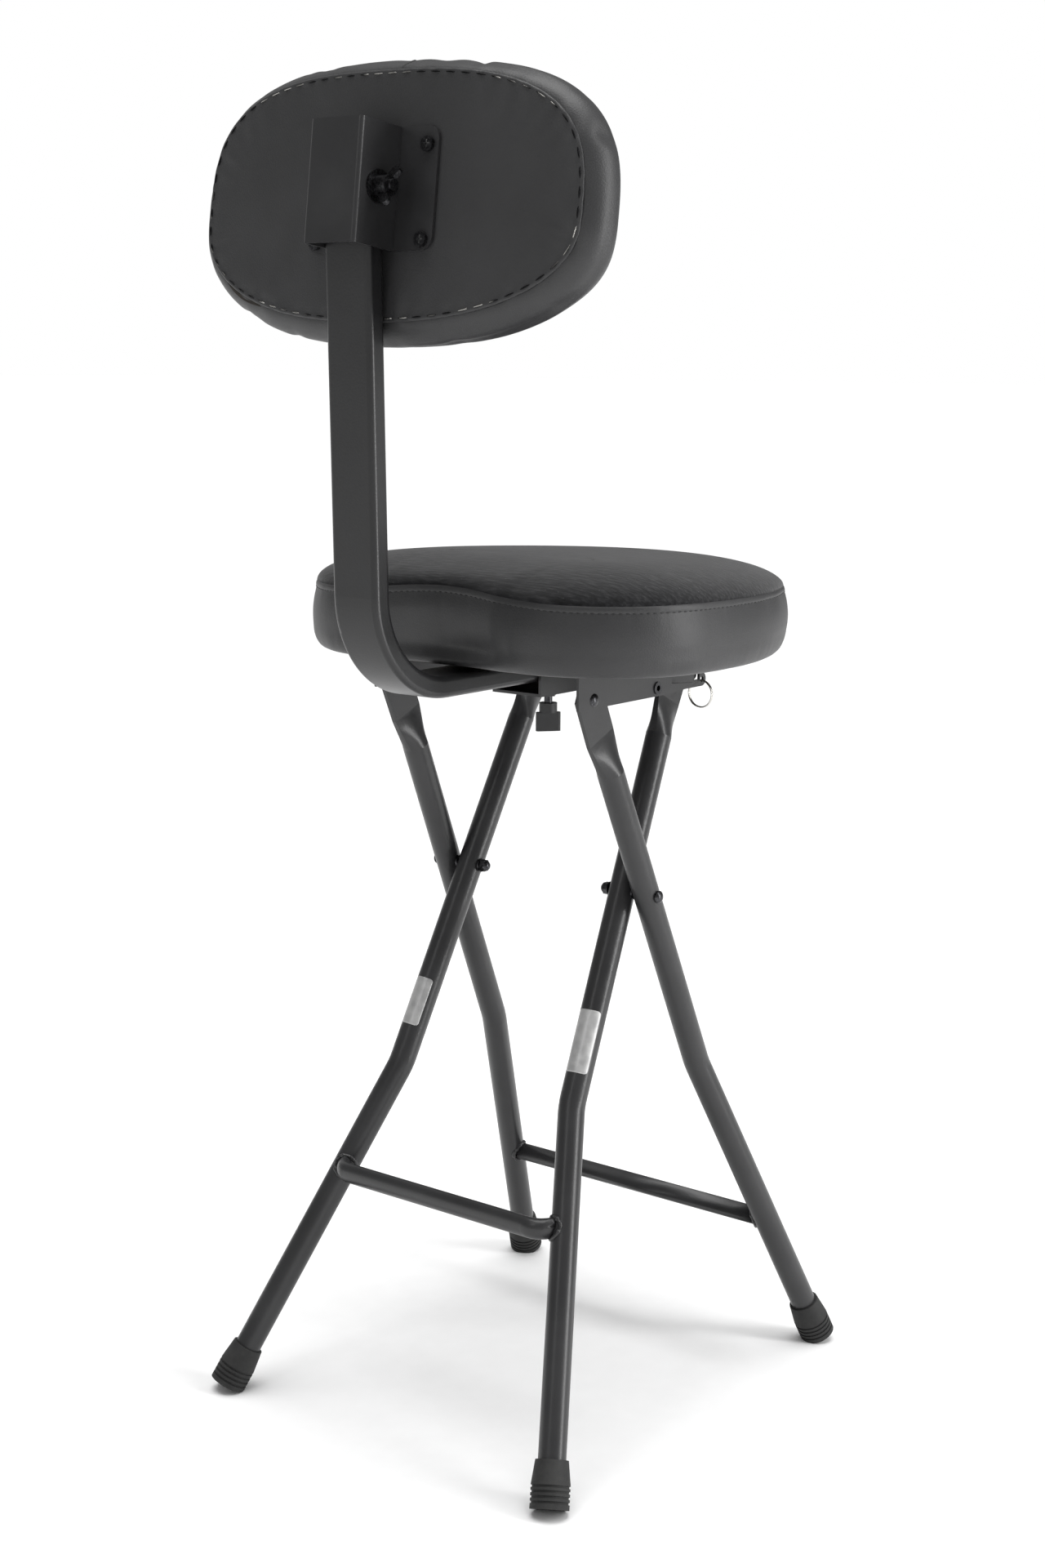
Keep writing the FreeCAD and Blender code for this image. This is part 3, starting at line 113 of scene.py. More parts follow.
def powder_coat(name, dark, pale):
    """Polyester powder over steel: satin, near black in soft clouds, with orange peel about 1.4 mm across."""
    material, tree, place = new_finish(name)
    peel = add(tree, "ShaderNodeTexNoise", {"Vector": place, "Scale": per(1.43), "Detail": 2.0})
    cloud = add(tree, "ShaderNodeTexNoise", {"Vector": place, "Scale": per(41.7), "Detail": 3.0})
    colour = add(tree, "ShaderNodeValToRGB", {"Fac": cloud.outputs["Fac"]},
                 stops=[(0.3, dark), (0.7, pale)]).outputs["Color"]
    rough = add(tree, "ShaderNodeMapRange", {"Value": cloud.outputs["Fac"], "To Min": 0.29, "To Max": 0.37})
    bump = add(tree, "ShaderNodeBump", {"Strength": 0.1, "Distance": 0.6 * MM, "Height": peel.outputs["Fac"]})
    shader = add(tree, "ShaderNodeBsdfPrincipled", {
        "Base Color": colour, "Roughness": rough.outputs["Result"], "IOR": 1.5,
        "Normal": bump.outputs["Normal"]})
    add(tree, "ShaderNodeOutputMaterial", {"Surface": shader.outputs[0]})
    return material


coat = powder_coat("powder_coat_charcoal", "#262627", "#2f2f30")
dress(coat, *both("outer_leg", "inner_leg"), *bar_fuller)
# A node's triangles are loose, so they are joined before they move outwards
for name, fuller in bar_fuller.items():
    frame["nodes"][name].modifiers.new("joined", "WELD").merge_threshold = joined_within * MM
    outwards = frame["nodes"][name].modifiers.new("fuller", "DISPLACE")
    outwards.mid_level = 0
    outwards.strength = fuller * MM

# Rubber feet: moulded natural rubber cups pushed over the tube ends, ribbed below,
# with the dull skin and the grey bloom that moulded rubber has.


def moulded_rubber():
    """Black rubber: no gloss, a fine matt skin about 0.7 mm coarse and pale dust in 11 mm patches."""
    material, tree, place = new_finish("moulded_rubber")
    skin_grain = add(tree, "ShaderNodeTexNoise", {"Vector": place, "Scale": per(0.667), "Detail": 3.0})
    bloom = add(tree, "ShaderNodeTexNoise", {
        "Vector": place, "Scale": per(11.1), "Detail": 5.0, "Roughness": 0.65})
    colour = add(tree, "ShaderNodeValToRGB", {"Fac": bloom.outputs["Fac"]},
                 stops=[(0.35, "#1b1b1b"), (0.75, "#2b2b2a")]).outputs["Color"]
    bump = add(tree, "ShaderNodeBump", {
        "Strength": 0.25, "Distance": 0.4 * MM, "Height": skin_grain.outputs["Fac"]})
    shader = add(tree, "ShaderNodeBsdfPrincipled", {
        "Base Color": colour, "Roughness": 0.72, "IOR": 1.52, "Normal": bump.outputs["Normal"]})
    add(tree, "ShaderNodeOutputMaterial", {"Surface": shader.outputs[0]})
    return material


rubber = moulded_rubber()
dress(rubber, *both("outer_foot", "inner_foot"))

# Welds: a lumpy bead of filler runs round each end of the two cross bars, under the powder coat.
# The bead follows the curve where the bar's round meets the leg's.
leg_round = 9.5
bar_tube_round = 6.35
bar_rounds = {name: bar_tube_round + fuller for name, fuller in bar_fuller.items()}
bead_round = 1.5
bead_lump = 0.12
bead_steps = 64
bead_sides = 8
outer_lean, inner_lean = math.radians(-23.96), math.radians(26.4)
outer_splay, inner_splay = math.radians(10.6), math.radians(15.3)
rear_bar_turn = math.radians(58.3)


def mesh_piece(name, points, faces, materials, body, slot):
    """A smooth mesh from points in millimetres, riding a body; faces that enclose a space face outwards."""
    corners = np.array([face[:3] for face in faces])
    first, second, third = (points[corners[:, place]] - points.mean(0) for place in range(3))
    if np.einsum("ij,ij->", first, np.cross(second, third)) < 0:
        faces = [face[::-1] for face in faces]
    mesh = bpy.data.meshes.new(name)
    mesh.from_pydata((points * MM).tolist(), [], faces)
    mesh.polygons.foreach_set("use_smooth", np.ones(len(faces), bool))
    for material in materials:
        mesh.materials.append(material)
    mesh.validate()
    piece = bpy.data.objects.new(name, mesh)
    bpy.context.scene.collection.objects.link(piece)
    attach(piece, body)
    return piece


def ring_faces(count, size, start=0):
    """Quads between each closed ring of points and the next."""
    ring, spot = np.meshgrid(np.arange(count - 1), np.arange(size), indexing="ij")
    after = (spot + 1) % size
    quads = [ring * size + spot, ring * size + after, (ring + 1) * size + after, (ring + 1) * size + spot]
    return (np.stack(quads, -1).reshape(-1, 4) + start).tolist()


def skin(rings):
    """Points and faces over rings (ring, place, xyz), with a fan to the middle of each end ring."""
    count, size = rings.shape[:2]
    points = np.concatenate([rings.reshape(-1, 3), rings[:1].mean(1), rings[-1:].mean(1)])
    spot = np.arange(size)
    after = (spot + 1) % size
    last = (count - 1) * size
    low = np.stack([spot * 0 + count * size, after, spot], -1).tolist()
    high = np.stack([spot * 0 + count * size + 1, last + spot, last + after], -1).tolist()
    return points, ring_faces(count, size) + low + high


def tube(path, radius, sides, closed=False):
    """Rings of a round section carried along a path: each ring stands square to the path."""
    along = np.roll(path, -1, 0) - np.roll(path, 1, 0)
    if not closed:
        along[0] = path[1] - path[0]
        along[-1] = path[-1] - path[-2]
    along /= np.linalg.norm(along, axis=1, keepdims=True)
    aside = np.cross(along, [0.31, 0.87, 0.38])
    aside /= np.linalg.norm(aside, axis=1, keepdims=True)
    up = np.cross(along, aside)
    angle = np.linspace(0, 2 * np.pi, sides, endpoint=False)
    round_off = aside[:, None] * np.cos(angle)[None, :, None] + up[:, None] * np.sin(angle)[None, :, None]
    return path[:, None] + round_off * np.reshape(radius, (-1, 1, 1))


def unit(vector):
    """A vector brought to length one."""
    return np.array(vector, float) / np.linalg.norm(vector)


def leg_way(side, lean, splay):
    """The way down a lower leg: splayed sideways in a plane that leans fore and aft."""
    return np.array([side * math.sin(splay), math.cos(splay) * math.sin(lean),
                     -math.cos(splay) * math.cos(lean)])


def weld_bead(name, middle, leg, bar, bar_round, body, seed):
    """A bead on the curve where two round tubes meet: each point lies one leg radius from the leg's axis."""
    aside = unit(np.cross(bar, leg))
    along = np.cross(aside, bar)
    angle = np.linspace(0, 2 * np.pi, bead_steps, endpoint=False)
    off = bar_round * (np.cos(angle)[:, None] * aside + np.sin(angle)[:, None] * along)
    a = 1 - (bar @ leg) ** 2
    b = off @ bar - (off @ leg) * (bar @ leg)
    c = (off ** 2).sum(1) - (off @ leg) ** 2 - leg_round ** 2
    reach = (-b + np.sqrt(b ** 2 - a * c)) / a
    path = middle + reach[:, None] * bar + off
    lumps = np.random.default_rng(seed).normal(0, 1, bead_steps)
    radius = bead_round * (1 + bead_lump * (lumps + np.roll(lumps, 1)))
    rings = tube(path, radius, bead_sides, closed=True)
    rings = np.concatenate([rings, rings[:1]])
    mesh_piece(name, rings.reshape(-1, 3), ring_faces(len(rings), bead_sides), [coat], body, "powder_coat")


# Each bar's left end, the lean and splay of the leg there, and the turn of the bar at that end
bar_ends = (("front", (123.0, -119.9, 106.5), outer_lean, outer_splay, 0.0, "outer_frame"),
            ("rear", (100.6, 105.2, 164.5), inner_lean, inner_splay, rear_bar_turn, "inner_frame"))
for number, (name, spot, lean, splay, turn, body) in enumerate(bar_ends):
    for side, hand in ((1, "left"), (-1, "right")):
        weld_bead("{}_weld_{}".format(name, hand), np.array(spot) * [side, 1, 1], leg_way(side, lean, splay),
                  np.array([-side * math.cos(turn), math.sin(turn), 0.0]), bar_rounds[name + "_bar"],
                  body, 2 * number + side + 1)

# Foil patches: a bare strip of silver film on each inner leg, above the bend and turned to the back.
# The film is cut with round corners and stuck on over the powder. Each patch has a side, its start and end
# below the pivots, the way it faces, and half the angle that it wraps.
foil_patches = (("left", 1, 92, 128, 184, 48), ("right", -1, 89, 134, 192, 58))
foil_lift = 0.12
foil_corner = 2.5
inner_taper = math.atan(0.0566)
inner_half = 69.8
cross_height = 376.4


def silver_film():
    """Metallised polyester film: pale grey metal, dulled in soft patches about 6 mm across."""
    material, tree, place = new_finish("silver_film")
    cloud = add(tree, "ShaderNodeTexNoise", {"Vector": place, "Scale": per(6.25), "Detail": 3.0})
    colour = add(tree, "ShaderNodeValToRGB", {"Fac": cloud.outputs["Fac"]},
                 stops=[(0.3, "#b3b3b3"), (0.7, "#c9c9c8")]).outputs["Color"]
    rough = add(tree, "ShaderNodeMapRange", {"Value": cloud.outputs["Fac"], "To Min": 0.34, "To Max": 0.5})
    shader = add(tree, "ShaderNodeBsdfPrincipled", {
        "Base Color": colour, "Metallic": 0.55, "Roughness": rough.outputs["Result"]})
    add(tree, "ShaderNodeOutputMaterial", {"Surface": shader.outputs[0]})
    return material


film = silver_film()
for hand, side, start, end, face, half_angle in foil_patches:
    down = leg_way(side, inner_lean, inner_taper)
    face_way = [math.sin(math.radians(face)), -math.cos(math.radians(face)), 0]
    facing = unit(np.cross(np.cross(down, face_way), down))
    beside = np.cross(down, facing)
    along, share = np.meshgrid(np.linspace(start, end, 60), np.linspace(-1, 1, 25), indexing="ij")
    near_end = np.clip(foil_corner - np.minimum(along - start, end - along), 0, foil_corner)
    narrower = (foil_corner - np.sqrt(foil_corner ** 2 - near_end ** 2)) / leg_round
    turn = share * (math.radians(half_angle) - narrower)
    shell = []
    for lift in (foil_lift, -foil_lift):
        around = np.cos(turn)[..., None] * facing + np.sin(turn)[..., None] * beside
        shell.append(np.array([side * inner_half, 0, cross_height]) + along[..., None] * down
                     + (leg_round + lift) * around)
    rings = np.concatenate([shell[0], shell[1][:, ::-1]], 1)
    mesh_piece("foil_" + hand, *skin(rings), [film], "inner_frame", "powder_coat")

# Pivot bolts, rivets and nuts: steel with a black oxide finish that is polished at the rims,
# turned or headed, and riveted or screwed through the tubes.


def black_oxide():
    """Blackened steel: dark metal, half gloss, worn a little brighter in specks about 1 mm across."""
    material, tree, place = new_finish("black_oxide_steel")
    specks = add(tree, "ShaderNodeTexNoise", {"Vector": place, "Scale": per(1.11), "Detail": 4.0})
    colour = add(tree, "ShaderNodeValToRGB", {"Fac": specks.outputs["Fac"]},
                 stops=[(0.4, "#38383a"), (0.72, "#5a5a5c")]).outputs["Color"]
    rough = add(tree, "ShaderNodeMapRange", {"Value": specks.outputs["Fac"], "To Min": 0.22, "To Max": 0.42})
    shader = add(tree, "ShaderNodeBsdfPrincipled", {
        "Base Color": colour, "Metallic": 1.0, "Roughness": rough.outputs["Result"]})
    add(tree, "ShaderNodeOutputMaterial", {"Surface": shader.outputs[0]})
    return material


oxide = black_oxide()
dress(oxide, *both("pivot_bolt", "pivot_spacer", "pivot_washer", "dome_nut", "seat_rivet", "latch_stud"))

# Seat bracket: one 2 mm sheet folded down at both sides, with the post's channel, the rest hooks
# and the clamp's nut welded under it, and the same powder over all of it.
dress(coat, "seat_bracket", "receiver", "weld_nut", *both("rest_hook"), "latch_lever")
dress(oxide, "latch_eyelet", *["seat_bolt_{}_{}".format(end, hand)
                               for end in ("rear", "front") for hand in ("left", "right")])

# Pull ring: a split ring, two turns of sprung steel wire, nickel plated,
# threaded through the hole at the end of the latch lever.
joints = {joint["name"]: joint for joint in frame["joints"]}
ring_low, ring_high = (np.array(corner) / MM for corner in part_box("pull_ring"))
ring_wire = 1.1
ring_turns = 2


def nickel_wire():
    """Nickel plate on drawn wire: bright metal with faint marks about 0.8 mm across."""
    material, tree, place = new_finish("nickel_plated_wire")
    marks = add(tree, "ShaderNodeTexNoise", {"Vector": place, "Scale": per(0.833), "Detail": 2.0})
    colour = add(tree, "ShaderNodeValToRGB", {"Fac": marks.outputs["Fac"]},
                 stops=[(0.3, "#b9b7b2"), (0.7, "#dcdad5")]).outputs["Color"]
    rough = add(tree, "ShaderNodeMapRange", {"Value": marks.outputs["Fac"], "To Min": 0.12, "To Max": 0.26})
    shader = add(tree, "ShaderNodeBsdfPrincipled", {
        "Base Color": colour, "Metallic": 1.0, "Roughness": rough.outputs["Result"]})
    add(tree, "ShaderNodeOutputMaterial", {"Surface": shader.outputs[0]})
    return material


turn = np.linspace(0, 2 * np.pi * ring_turns, 97 * ring_turns)
ring_radius = (ring_high[2] - ring_low[2] - 2 * ring_wire) / 2
ring_middle = (ring_low + ring_high) / 2
ring_step = np.clip((turn / (2 * np.pi) - 1) * 6, -0.5, 0.5)
ring_path = ring_middle + np.stack([
    ring_radius * np.sin(turn), ring_wire * ring_step, -ring_radius * np.cos(turn)], -1)
pull_ring = mesh_piece("split_ring", *skin(tube(ring_path, ring_wire / 2, 12)), [nickel_wire()],
                       "pull_ring", "bright_wire")
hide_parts("pull_ring")

# Clamp: a steel screw with a moulded paddle knob under the post's channel.
# The knob is black plastic moulded round the screw's head, with a fine eroded skin.


def moulded_plastic(name, dark, pale, low, high):
    """Injection moulded black plastic: fine spark-eroded skin about 0.7 mm coarse."""
    material, tree, place = new_finish(name)
    skin_grain = add(tree, "ShaderNodeTexNoise", {"Vector": place, "Scale": per(0.714), "Detail": 2.0})
    cloud = add(tree, "ShaderNodeTexNoise", {"Vector": place, "Scale": per(16.7), "Detail": 3.0})
    colour = add(tree, "ShaderNodeValToRGB", {"Fac": cloud.outputs["Fac"]},
                 stops=[(0.3, dark), (0.75, pale)]).outputs["Color"]
    rough = add(tree, "ShaderNodeMapRange", {"Value": cloud.outputs["Fac"], "To Min": low, "To Max": high})
    bump = add(tree, "ShaderNodeBump", {
        "Strength": 0.12, "Distance": 0.4 * MM, "Height": skin_grain.outputs["Fac"]})
    shader = add(tree, "ShaderNodeBsdfPrincipled", {
        "Base Color": colour, "Roughness": rough.outputs["Result"], "IOR": 1.54,
        "Normal": bump.outputs["Normal"]})
    add(tree, "ShaderNodeOutputMaterial", {"Surface": shader.outputs[0]})
    return material


knob_plastic = moulded_plastic("paddle_plastic", "#1f1f20", "#2c2c2d", 0.42, 0.58)
dress(knob_plastic, "clamp_knob")
dress(oxide, "clamp_screw")

# Back post: flat oval steel tube bent up behind the seat and slid into the channel from behind.
# Its coat is a darker copy of the same powder, a painted shade, and plastic plugs are pressed into both ends.
# Darker colours than the legs' coat: painted shade on the post
dress(powder_coat("powder_coat_painted_shade", "#171718", "#1e1e1f"), "back_post")
dress(knob_plastic, "post_plug_front", "post_plug_top")

# Seat board: 10 mm birch plywood, cut to the cushion's outline, stained black and bolted to the bracket.
# The backrest's bent board has the same stain.


def stained_plywood():
    """Birch plywood under black stain: long grain streaks 2 mm apart show through."""
    material, tree, place = new_finish("stained_plywood")
    stretch = add(tree, "ShaderNodeMapping", {"Vector": place, "Scale": (per(2), per(33.3), per(2))})
    grain = add(tree, "ShaderNodeTexNoise", {
        "Vector": stretch.outputs["Vector"], "Scale": 1.0, "Detail": 5.0})
    colour = add(tree, "ShaderNodeValToRGB", {"Fac": grain.outputs["Fac"]},
                 stops=[(0.3, "#16130f"), (0.6, "#2a241d"), (0.8, "#3a3128")]).outputs["Color"]
    bump = add(tree, "ShaderNodeBump", {
        "Strength": 0.2, "Distance": 0.4 * MM, "Height": grain.outputs["Fac"]})
    shader = add(tree, "ShaderNodeBsdfPrincipled", {
        "Base Color": colour, "Roughness": 0.7, "IOR": 1.48, "Normal": bump.outputs["Normal"]})
    add(tree, "ShaderNodeOutputMaterial", {"Surface": shader.outputs[0]})
    return material


plywood = stained_plywood()
dress(plywood, "seat_board", "back_board")

# Seat cushion: foam over the board, with a velour top panel sewn to a vinyl band that is pulled
# under the board. The seam is felled: the band's edge is folded over and stitched down,
# a narrow lip below the velour.
seat_low = np.array(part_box("seat_cushion")[0]) / MM
hinge = np.array(joints["seat_fold"]["pos_m"]) / MM
seat_rear = 53.5
seat_arcs = ((-340, 0, 8), (103, 8, -81), (211, -81, -119.5))
seat_front_heading = -180
board_edge = 15.7
board_room = 9.2
roll_run = 10
roll_rise = 12
band_height = 45
band_draw = 2.4
band_bulge = 0.8
seam_lip = 4.8
seam_lip_draw = 0.4
seam_lip_sink = 0.45
seam_groove = 0.9
seam_rise = 7.0
notch_tuck = 9.0
notch_tuck_top = 36
notch_reach = 62
notch_fade = 40
pucker = 0.15
pucker_places = 9
seam_pucker_reach = 9
hem_pucker_reach = 6
crown_rise = 22
crown_run = 93
crown_dome = 0.8
front_fall = 4.5
front_fall_run = 190
lobe_gain = 5
seat_pressure = 2.0
seat_swell = 3.0
swell_mesh = 6
swell_steps = 20
swell_reaches = (12, 6)
stitch_pitch = 4.6
stitch_length = 3.6
stitch_width = 0.75
places = 480


def even_loop(points, normals, count):
    """A closed line's points and outward normals, evenly spaced by length."""
    closed = np.concatenate([points, points[:1]])
    length = np.concatenate([[0], np.cumsum(np.linalg.norm(np.diff(closed, axis=0), axis=1))])
    spots = np.linspace(0, length[-1], count, endpoint=False)
    across = np.concatenate([normals, normals[:1]])
    even = np.stack([np.interp(spots, length, closed[:, axis]) for axis in (0, 1)], -1)
    outward = np.stack([np.interp(spots, length, across[:, axis]) for axis in (0, 1)], -1)
    return even, outward / np.linalg.norm(outward, axis=1, keepdims=True), spots


def seat_edge(count):
    """The seat from above: arcs of a radius and two headings from the rear middle to the front, mirrored."""
    spot = np.array([0.0, seat_rear])
    points, normals = [], []
    front_start = np.radians(seat_arcs[-1][2])
    for radius, start, end in seat_arcs:
        heading = np.radians(np.linspace(start, end, 120))
        outward = np.stack([-np.sin(heading), np.cos(heading)], -1)
        run = spot + radius * (outward - outward[0])
        points.append(run)
        normals.append(outward)
        spot = run[-1]
    heading = np.linspace(front_start, np.radians(seat_front_heading), 120)
    outward = np.stack([-np.sin(heading), np.cos(heading)], -1)
    points.append(spot + spot[0] / outward[0, 0] * (outward - outward[0]))
    normals.append(outward)
    half, across = np.concatenate(points), np.concatenate(normals)
    mirror = np.array([-1, 1])
    return even_loop(np.concatenate([half, half[-2:0:-1] * mirror]),
                     np.concatenate([across, across[-2:0:-1] * mirror]), count)


def smooth_step(value, low, high):
    """0 below low, 1 above high, eased between."""
    share = np.clip((value - low) / (high - low), 0, 1)
    return share * share * (3 - 2 * share)


# The rear lobes stand out most where the edge faces between back and side
edge, edge_out = seat_edge(places)[:2]
edge += lobe_gain * (2 * np.abs(edge_out[:, :1]) * np.maximum(edge_out[:, 1:], 0)) * edge_out
rear_middle = np.exp(-(edge[:, 0] / notch_reach) ** 2) * smooth_step(edge[:, 1], 0, notch_fade)
# Profile from the middle of the underside, round the board's edge and up to the middle of the top:
# how far in from the edge, and how high
under = [(60, board_room), (30, board_room), (board_edge, board_room), (board_edge, board_room / 2),
         (board_edge, 0.6), (board_edge - 0.6, 0), (roll_run + 2, 0)]
roll_angle = np.linspace(0, np.pi / 2, 10)
roll = np.stack([roll_run * (1 - np.sin(roll_angle)), roll_rise * (1 - np.cos(roll_angle))], -1)
band_share = np.linspace(0, 1, 16)[1:]
band = np.stack([band_draw * band_share ** 2 - band_bulge * np.sin(np.pi * band_share),
                 roll_rise + (band_height - seam_lip - roll_rise) * band_share], -1)
lip_share = np.array([0.06, 0.14, 0.28, 0.5, 0.72, 0.86, 0.94, 1.0])
lip_out = seam_groove * (np.sin(np.pi * lip_share) ** 0.5) - seam_groove * seam_lip_sink
lip = np.stack([band_draw + seam_lip_draw * lip_share - lip_out,
                band_height - seam_lip * (1 - lip_share)], -1)
crown_angle = np.linspace(0.035, np.pi / 2, 30)
crown = np.stack([band_draw + seam_lip_draw + crown_run * (1 - np.cos(crown_angle)),
                  band_height + crown_rise * np.sin(crown_angle)], -1)
profile = np.concatenate([under, roll, band, lip, crown])
stitch_ring = len(under) + len(roll) + len(band) - 1
velour_ring = stitch_ring + len(lip)
# Each ring is the edge moved in along its normals; behind, the seam climbs over the notch
# and the band is drawn in under it; small puckers sit along the seam and the hem
height = profile[:, 1]
lift = (smooth_step(height, roll_rise, band_height)
        * (1 - smooth_step(height, band_height, band_height + crown_rise)))
tuck = notch_tuck * (1 - smooth_step(height, 0, notch_tuck_top)) * smooth_step(height, 0, roll_rise)
puckers = np.random.default_rng(5).normal(0, 1, (2, places))
puckers = sum(np.roll(puckers, shift, 1) for shift in range(pucker_places)) / math.sqrt(pucker_places)
near_seam = np.exp(-((height - band_height + seam_lip) / seam_pucker_reach) ** 2) * (height < band_height)
near_hem = np.exp(-((height - roll_rise / 2) / hem_pucker_reach) ** 2)
draw_in = (profile[:, 0, None] + tuck[:, None] * rear_middle[None]
           + pucker * (near_seam[:, None] * puckers[:1] + near_hem[:, None] * puckers[1:]))
rings = np.empty((len(profile), places, 3))
rings[:, :, :2] = edge[None] - draw_in[..., None] * edge_out[None]
rings[:, :, 2] = height[:, None] + lift[:, None] * seam_rise * rear_middle[None]
# Inside the crown the rings shrink to the middle, and the whole top falls a little to the front
middle = np.array([0.0, edge[:, 1].mean()])
share = np.linspace(1, 0.04, 12)[1:, None, None]
inner = np.concatenate([middle + (rings[-1, :, :2] - middle) * share,
                        np.repeat(rings[-1:, :, 2:], len(share), 0) + crown_dome * (1 - share ** 2)], -1)
rings = np.concatenate([rings, inner])
crowned = np.clip((rings[:, :1, 2].max(1) - band_height) / crown_rise, 0, 1)
rings[:, :, 2] -= front_fall * crowned[:, None] * smooth_step(-rings[:, :, 1], 0, front_fall_run)
rings += [0, hinge[1], seat_low[2]]


def vinyl():
    """Knit-backed vinyl: charcoal, satin, with a pressed pebble grain about 1.2 mm across."""
    material, tree, place = new_finish("pebble_vinyl")
    pebble = add(tree, "ShaderNodeTexVoronoi", {"Vector": place, "Scale": per(1.22)}, feature="F1")
    fine = add(tree, "ShaderNodeTexNoise", {"Vector": place, "Scale": per(0.625), "Detail": 2.0})
    cloud = add(tree, "ShaderNodeTexNoise", {"Vector": place, "Scale": per(62.5), "Detail": 4.0})
    grain = add(tree, "ShaderNodeMath", {0: pebble.outputs["Distance"], 1: fine.outputs["Fac"]},
                operation="ADD")
    colour = add(tree, "ShaderNodeValToRGB", {"Fac": cloud.outputs["Fac"]},
                 stops=[(0.3, "#29292a"), (0.7, "#313132")]).outputs["Color"]
    rough = add(tree, "ShaderNodeMapRange", {"Value": fine.outputs["Fac"], "To Min": 0.4, "To Max": 0.56})
    bump = add(tree, "ShaderNodeBump", {
        "Strength": 0.16, "Distance": 0.5 * MM, "Height": grain.outputs["Value"]})
    shader = add(tree, "ShaderNodeBsdfPrincipled", {
        "Base Color": colour, "Roughness": rough.outputs["Result"], "IOR": 1.5,
        "Normal": bump.outputs["Normal"]})
    add(tree, "ShaderNodeOutputMaterial", {"Surface": shader.outputs[0]})
    return material


def velour():
    """Short cut pile: matt black with a soft sheen, brushed streaks and pale lint, drawn coarse to show."""
    material, tree, place = new_finish("black_velour")
    stretch = add(tree, "ShaderNodeMapping", {"Vector": place, "Scale": (per(10.5), per(2.33), per(2.33))})
    pile = add(tree, "ShaderNodeTexNoise", {"Vector": stretch.outputs["Vector"], "Scale": 1.0, "Detail": 4.0})
    brush = add(tree, "ShaderNodeTexNoise", {"Vector": place, "Scale": per(45.5), "Detail": 3.0})
    lint = add(tree, "ShaderNodeTexNoise", {"Vector": place, "Scale": per(2.38), "Detail": 1.0})
    brushed = add(tree, "ShaderNodeMapRange", {"Value": brush.outputs["Fac"], "To Min": 0.41, "To Max": 0.59})
    blend = add(tree, "ShaderNodeMath", {0: pile.outputs["Fac"], 1: brushed.outputs["Result"]},
                operation="MULTIPLY")
    colour = add(tree, "ShaderNodeValToRGB", {"Fac": blend.outputs["Value"]},
                 stops=[(0.14, "#0a0a0a"), (0.25, "#18181a"), (0.36, "#2b2b2c")]).outputs["Color"]
    specks = add(tree, "ShaderNodeMapRange", {
        "Value": lint.outputs["Fac"], "From Min": 0.74, "From Max": 0.8})
    dusted = add(tree, "ShaderNodeMix", {6: colour, 7: linear("#4a4a4a"), 0: specks.outputs["Result"]},
                 data_type="RGBA")
    bump = add(tree, "ShaderNodeBump", {"Strength": 0.5, "Distance": 0.8 * MM, "Height": pile.outputs["Fac"]})
    shader = add(tree, "ShaderNodeBsdfPrincipled", {
        "Base Color": dusted.outputs[2], "Roughness": 0.95, "IOR": 1.3, "Sheen Weight": 0.22,
        "Sheen Roughness": 0.45, "Normal": bump.outputs["Normal"]})
    add(tree, "ShaderNodeOutputMaterial", {"Surface": shader.outputs[0]})
    return material


def swell(piece, pressure, cap, held, shape):
    """Cloth under air pressure: a remeshed copy is blown up, and the piece follows it by at most the cap.

    A point moves by the copy's movement there, averaged over its neighbours along its ring and shortened
    to the cap, times one less its held share.
    """
    scene = bpy.context.scene
    form = bpy.data.objects.new(piece.name + "_form", piece.data.copy())
    scene.collection.objects.link(form)
    form.modifiers.new("even", "REMESH").voxel_size = swell_mesh * MM
    depsgraph = bpy.context.evaluated_depsgraph_get()
    even = bpy.data.meshes.new_from_object(form.evaluated_get(depsgraph))
    form.modifiers.clear()
    form.data = even
    follow = piece.modifiers.new("follow", "SURFACE_DEFORM")
    follow.target = form
    with bpy.context.temp_override(object=piece, active_object=piece, selected_objects=[piece]):
        bpy.ops.object.surfacedeform_bind(modifier=follow.name)
    cloth = form.modifiers.new("cloth", "CLOTH")
    cloth.settings.quality = 6
    cloth.settings.mass = 0.3
    cloth.settings.tension_stiffness = 30
    cloth.settings.compression_stiffness = 30
    cloth.settings.bending_stiffness = 2
    cloth.settings.use_pressure = True
    cloth.settings.uniform_pressure_force = pressure
    cloth.settings.effector_weights.gravity = 0
    for step in range(swell_steps):
        scene.frame_set(step + 1)
    depsgraph = bpy.context.evaluated_depsgraph_get()
    soft = piece.evaluated_get(depsgraph).to_mesh()
    before = np.empty(len(piece.data.vertices) * 3)
    after = np.empty(len(soft.vertices) * 3)
    piece.data.vertices.foreach_get("co", before)
    soft.vertices.foreach_get("co", after)
    move = (after - before).reshape(-1, 3)
    around = move[:shape[0] * shape[1]].reshape(shape)
    for reach in swell_reaches:
        around = sum(np.roll(around, shift, 1) for shift in range(-reach, reach + 1)) / (2 * reach + 1)
    move[:shape[0] * shape[1]] = around.reshape(-1, 3)
    size = np.linalg.norm(move, axis=1, keepdims=True)
    move *= cap * MM * np.tanh(size / (cap * MM)) / np.maximum(size, 1e-9) * (1 - held[:, None])
    piece.evaluated_get(depsgraph).to_mesh_clear()
    piece.modifiers.clear()
    bpy.data.objects.remove(form)
    scene.frame_set(1)
    piece.data.vertices.foreach_set("co", (before + move.ravel()).astype(np.float32))
    piece.data.update()


def grid_of(piece, shape):
    """A swollen piece's rings again, in millimetres."""
    points = np.empty(len(piece.data.vertices) * 3)
    piece.data.vertices.foreach_get("co", points)
    return points.reshape(-1, 3)[:shape[0] * shape[1]].reshape(shape) / MM


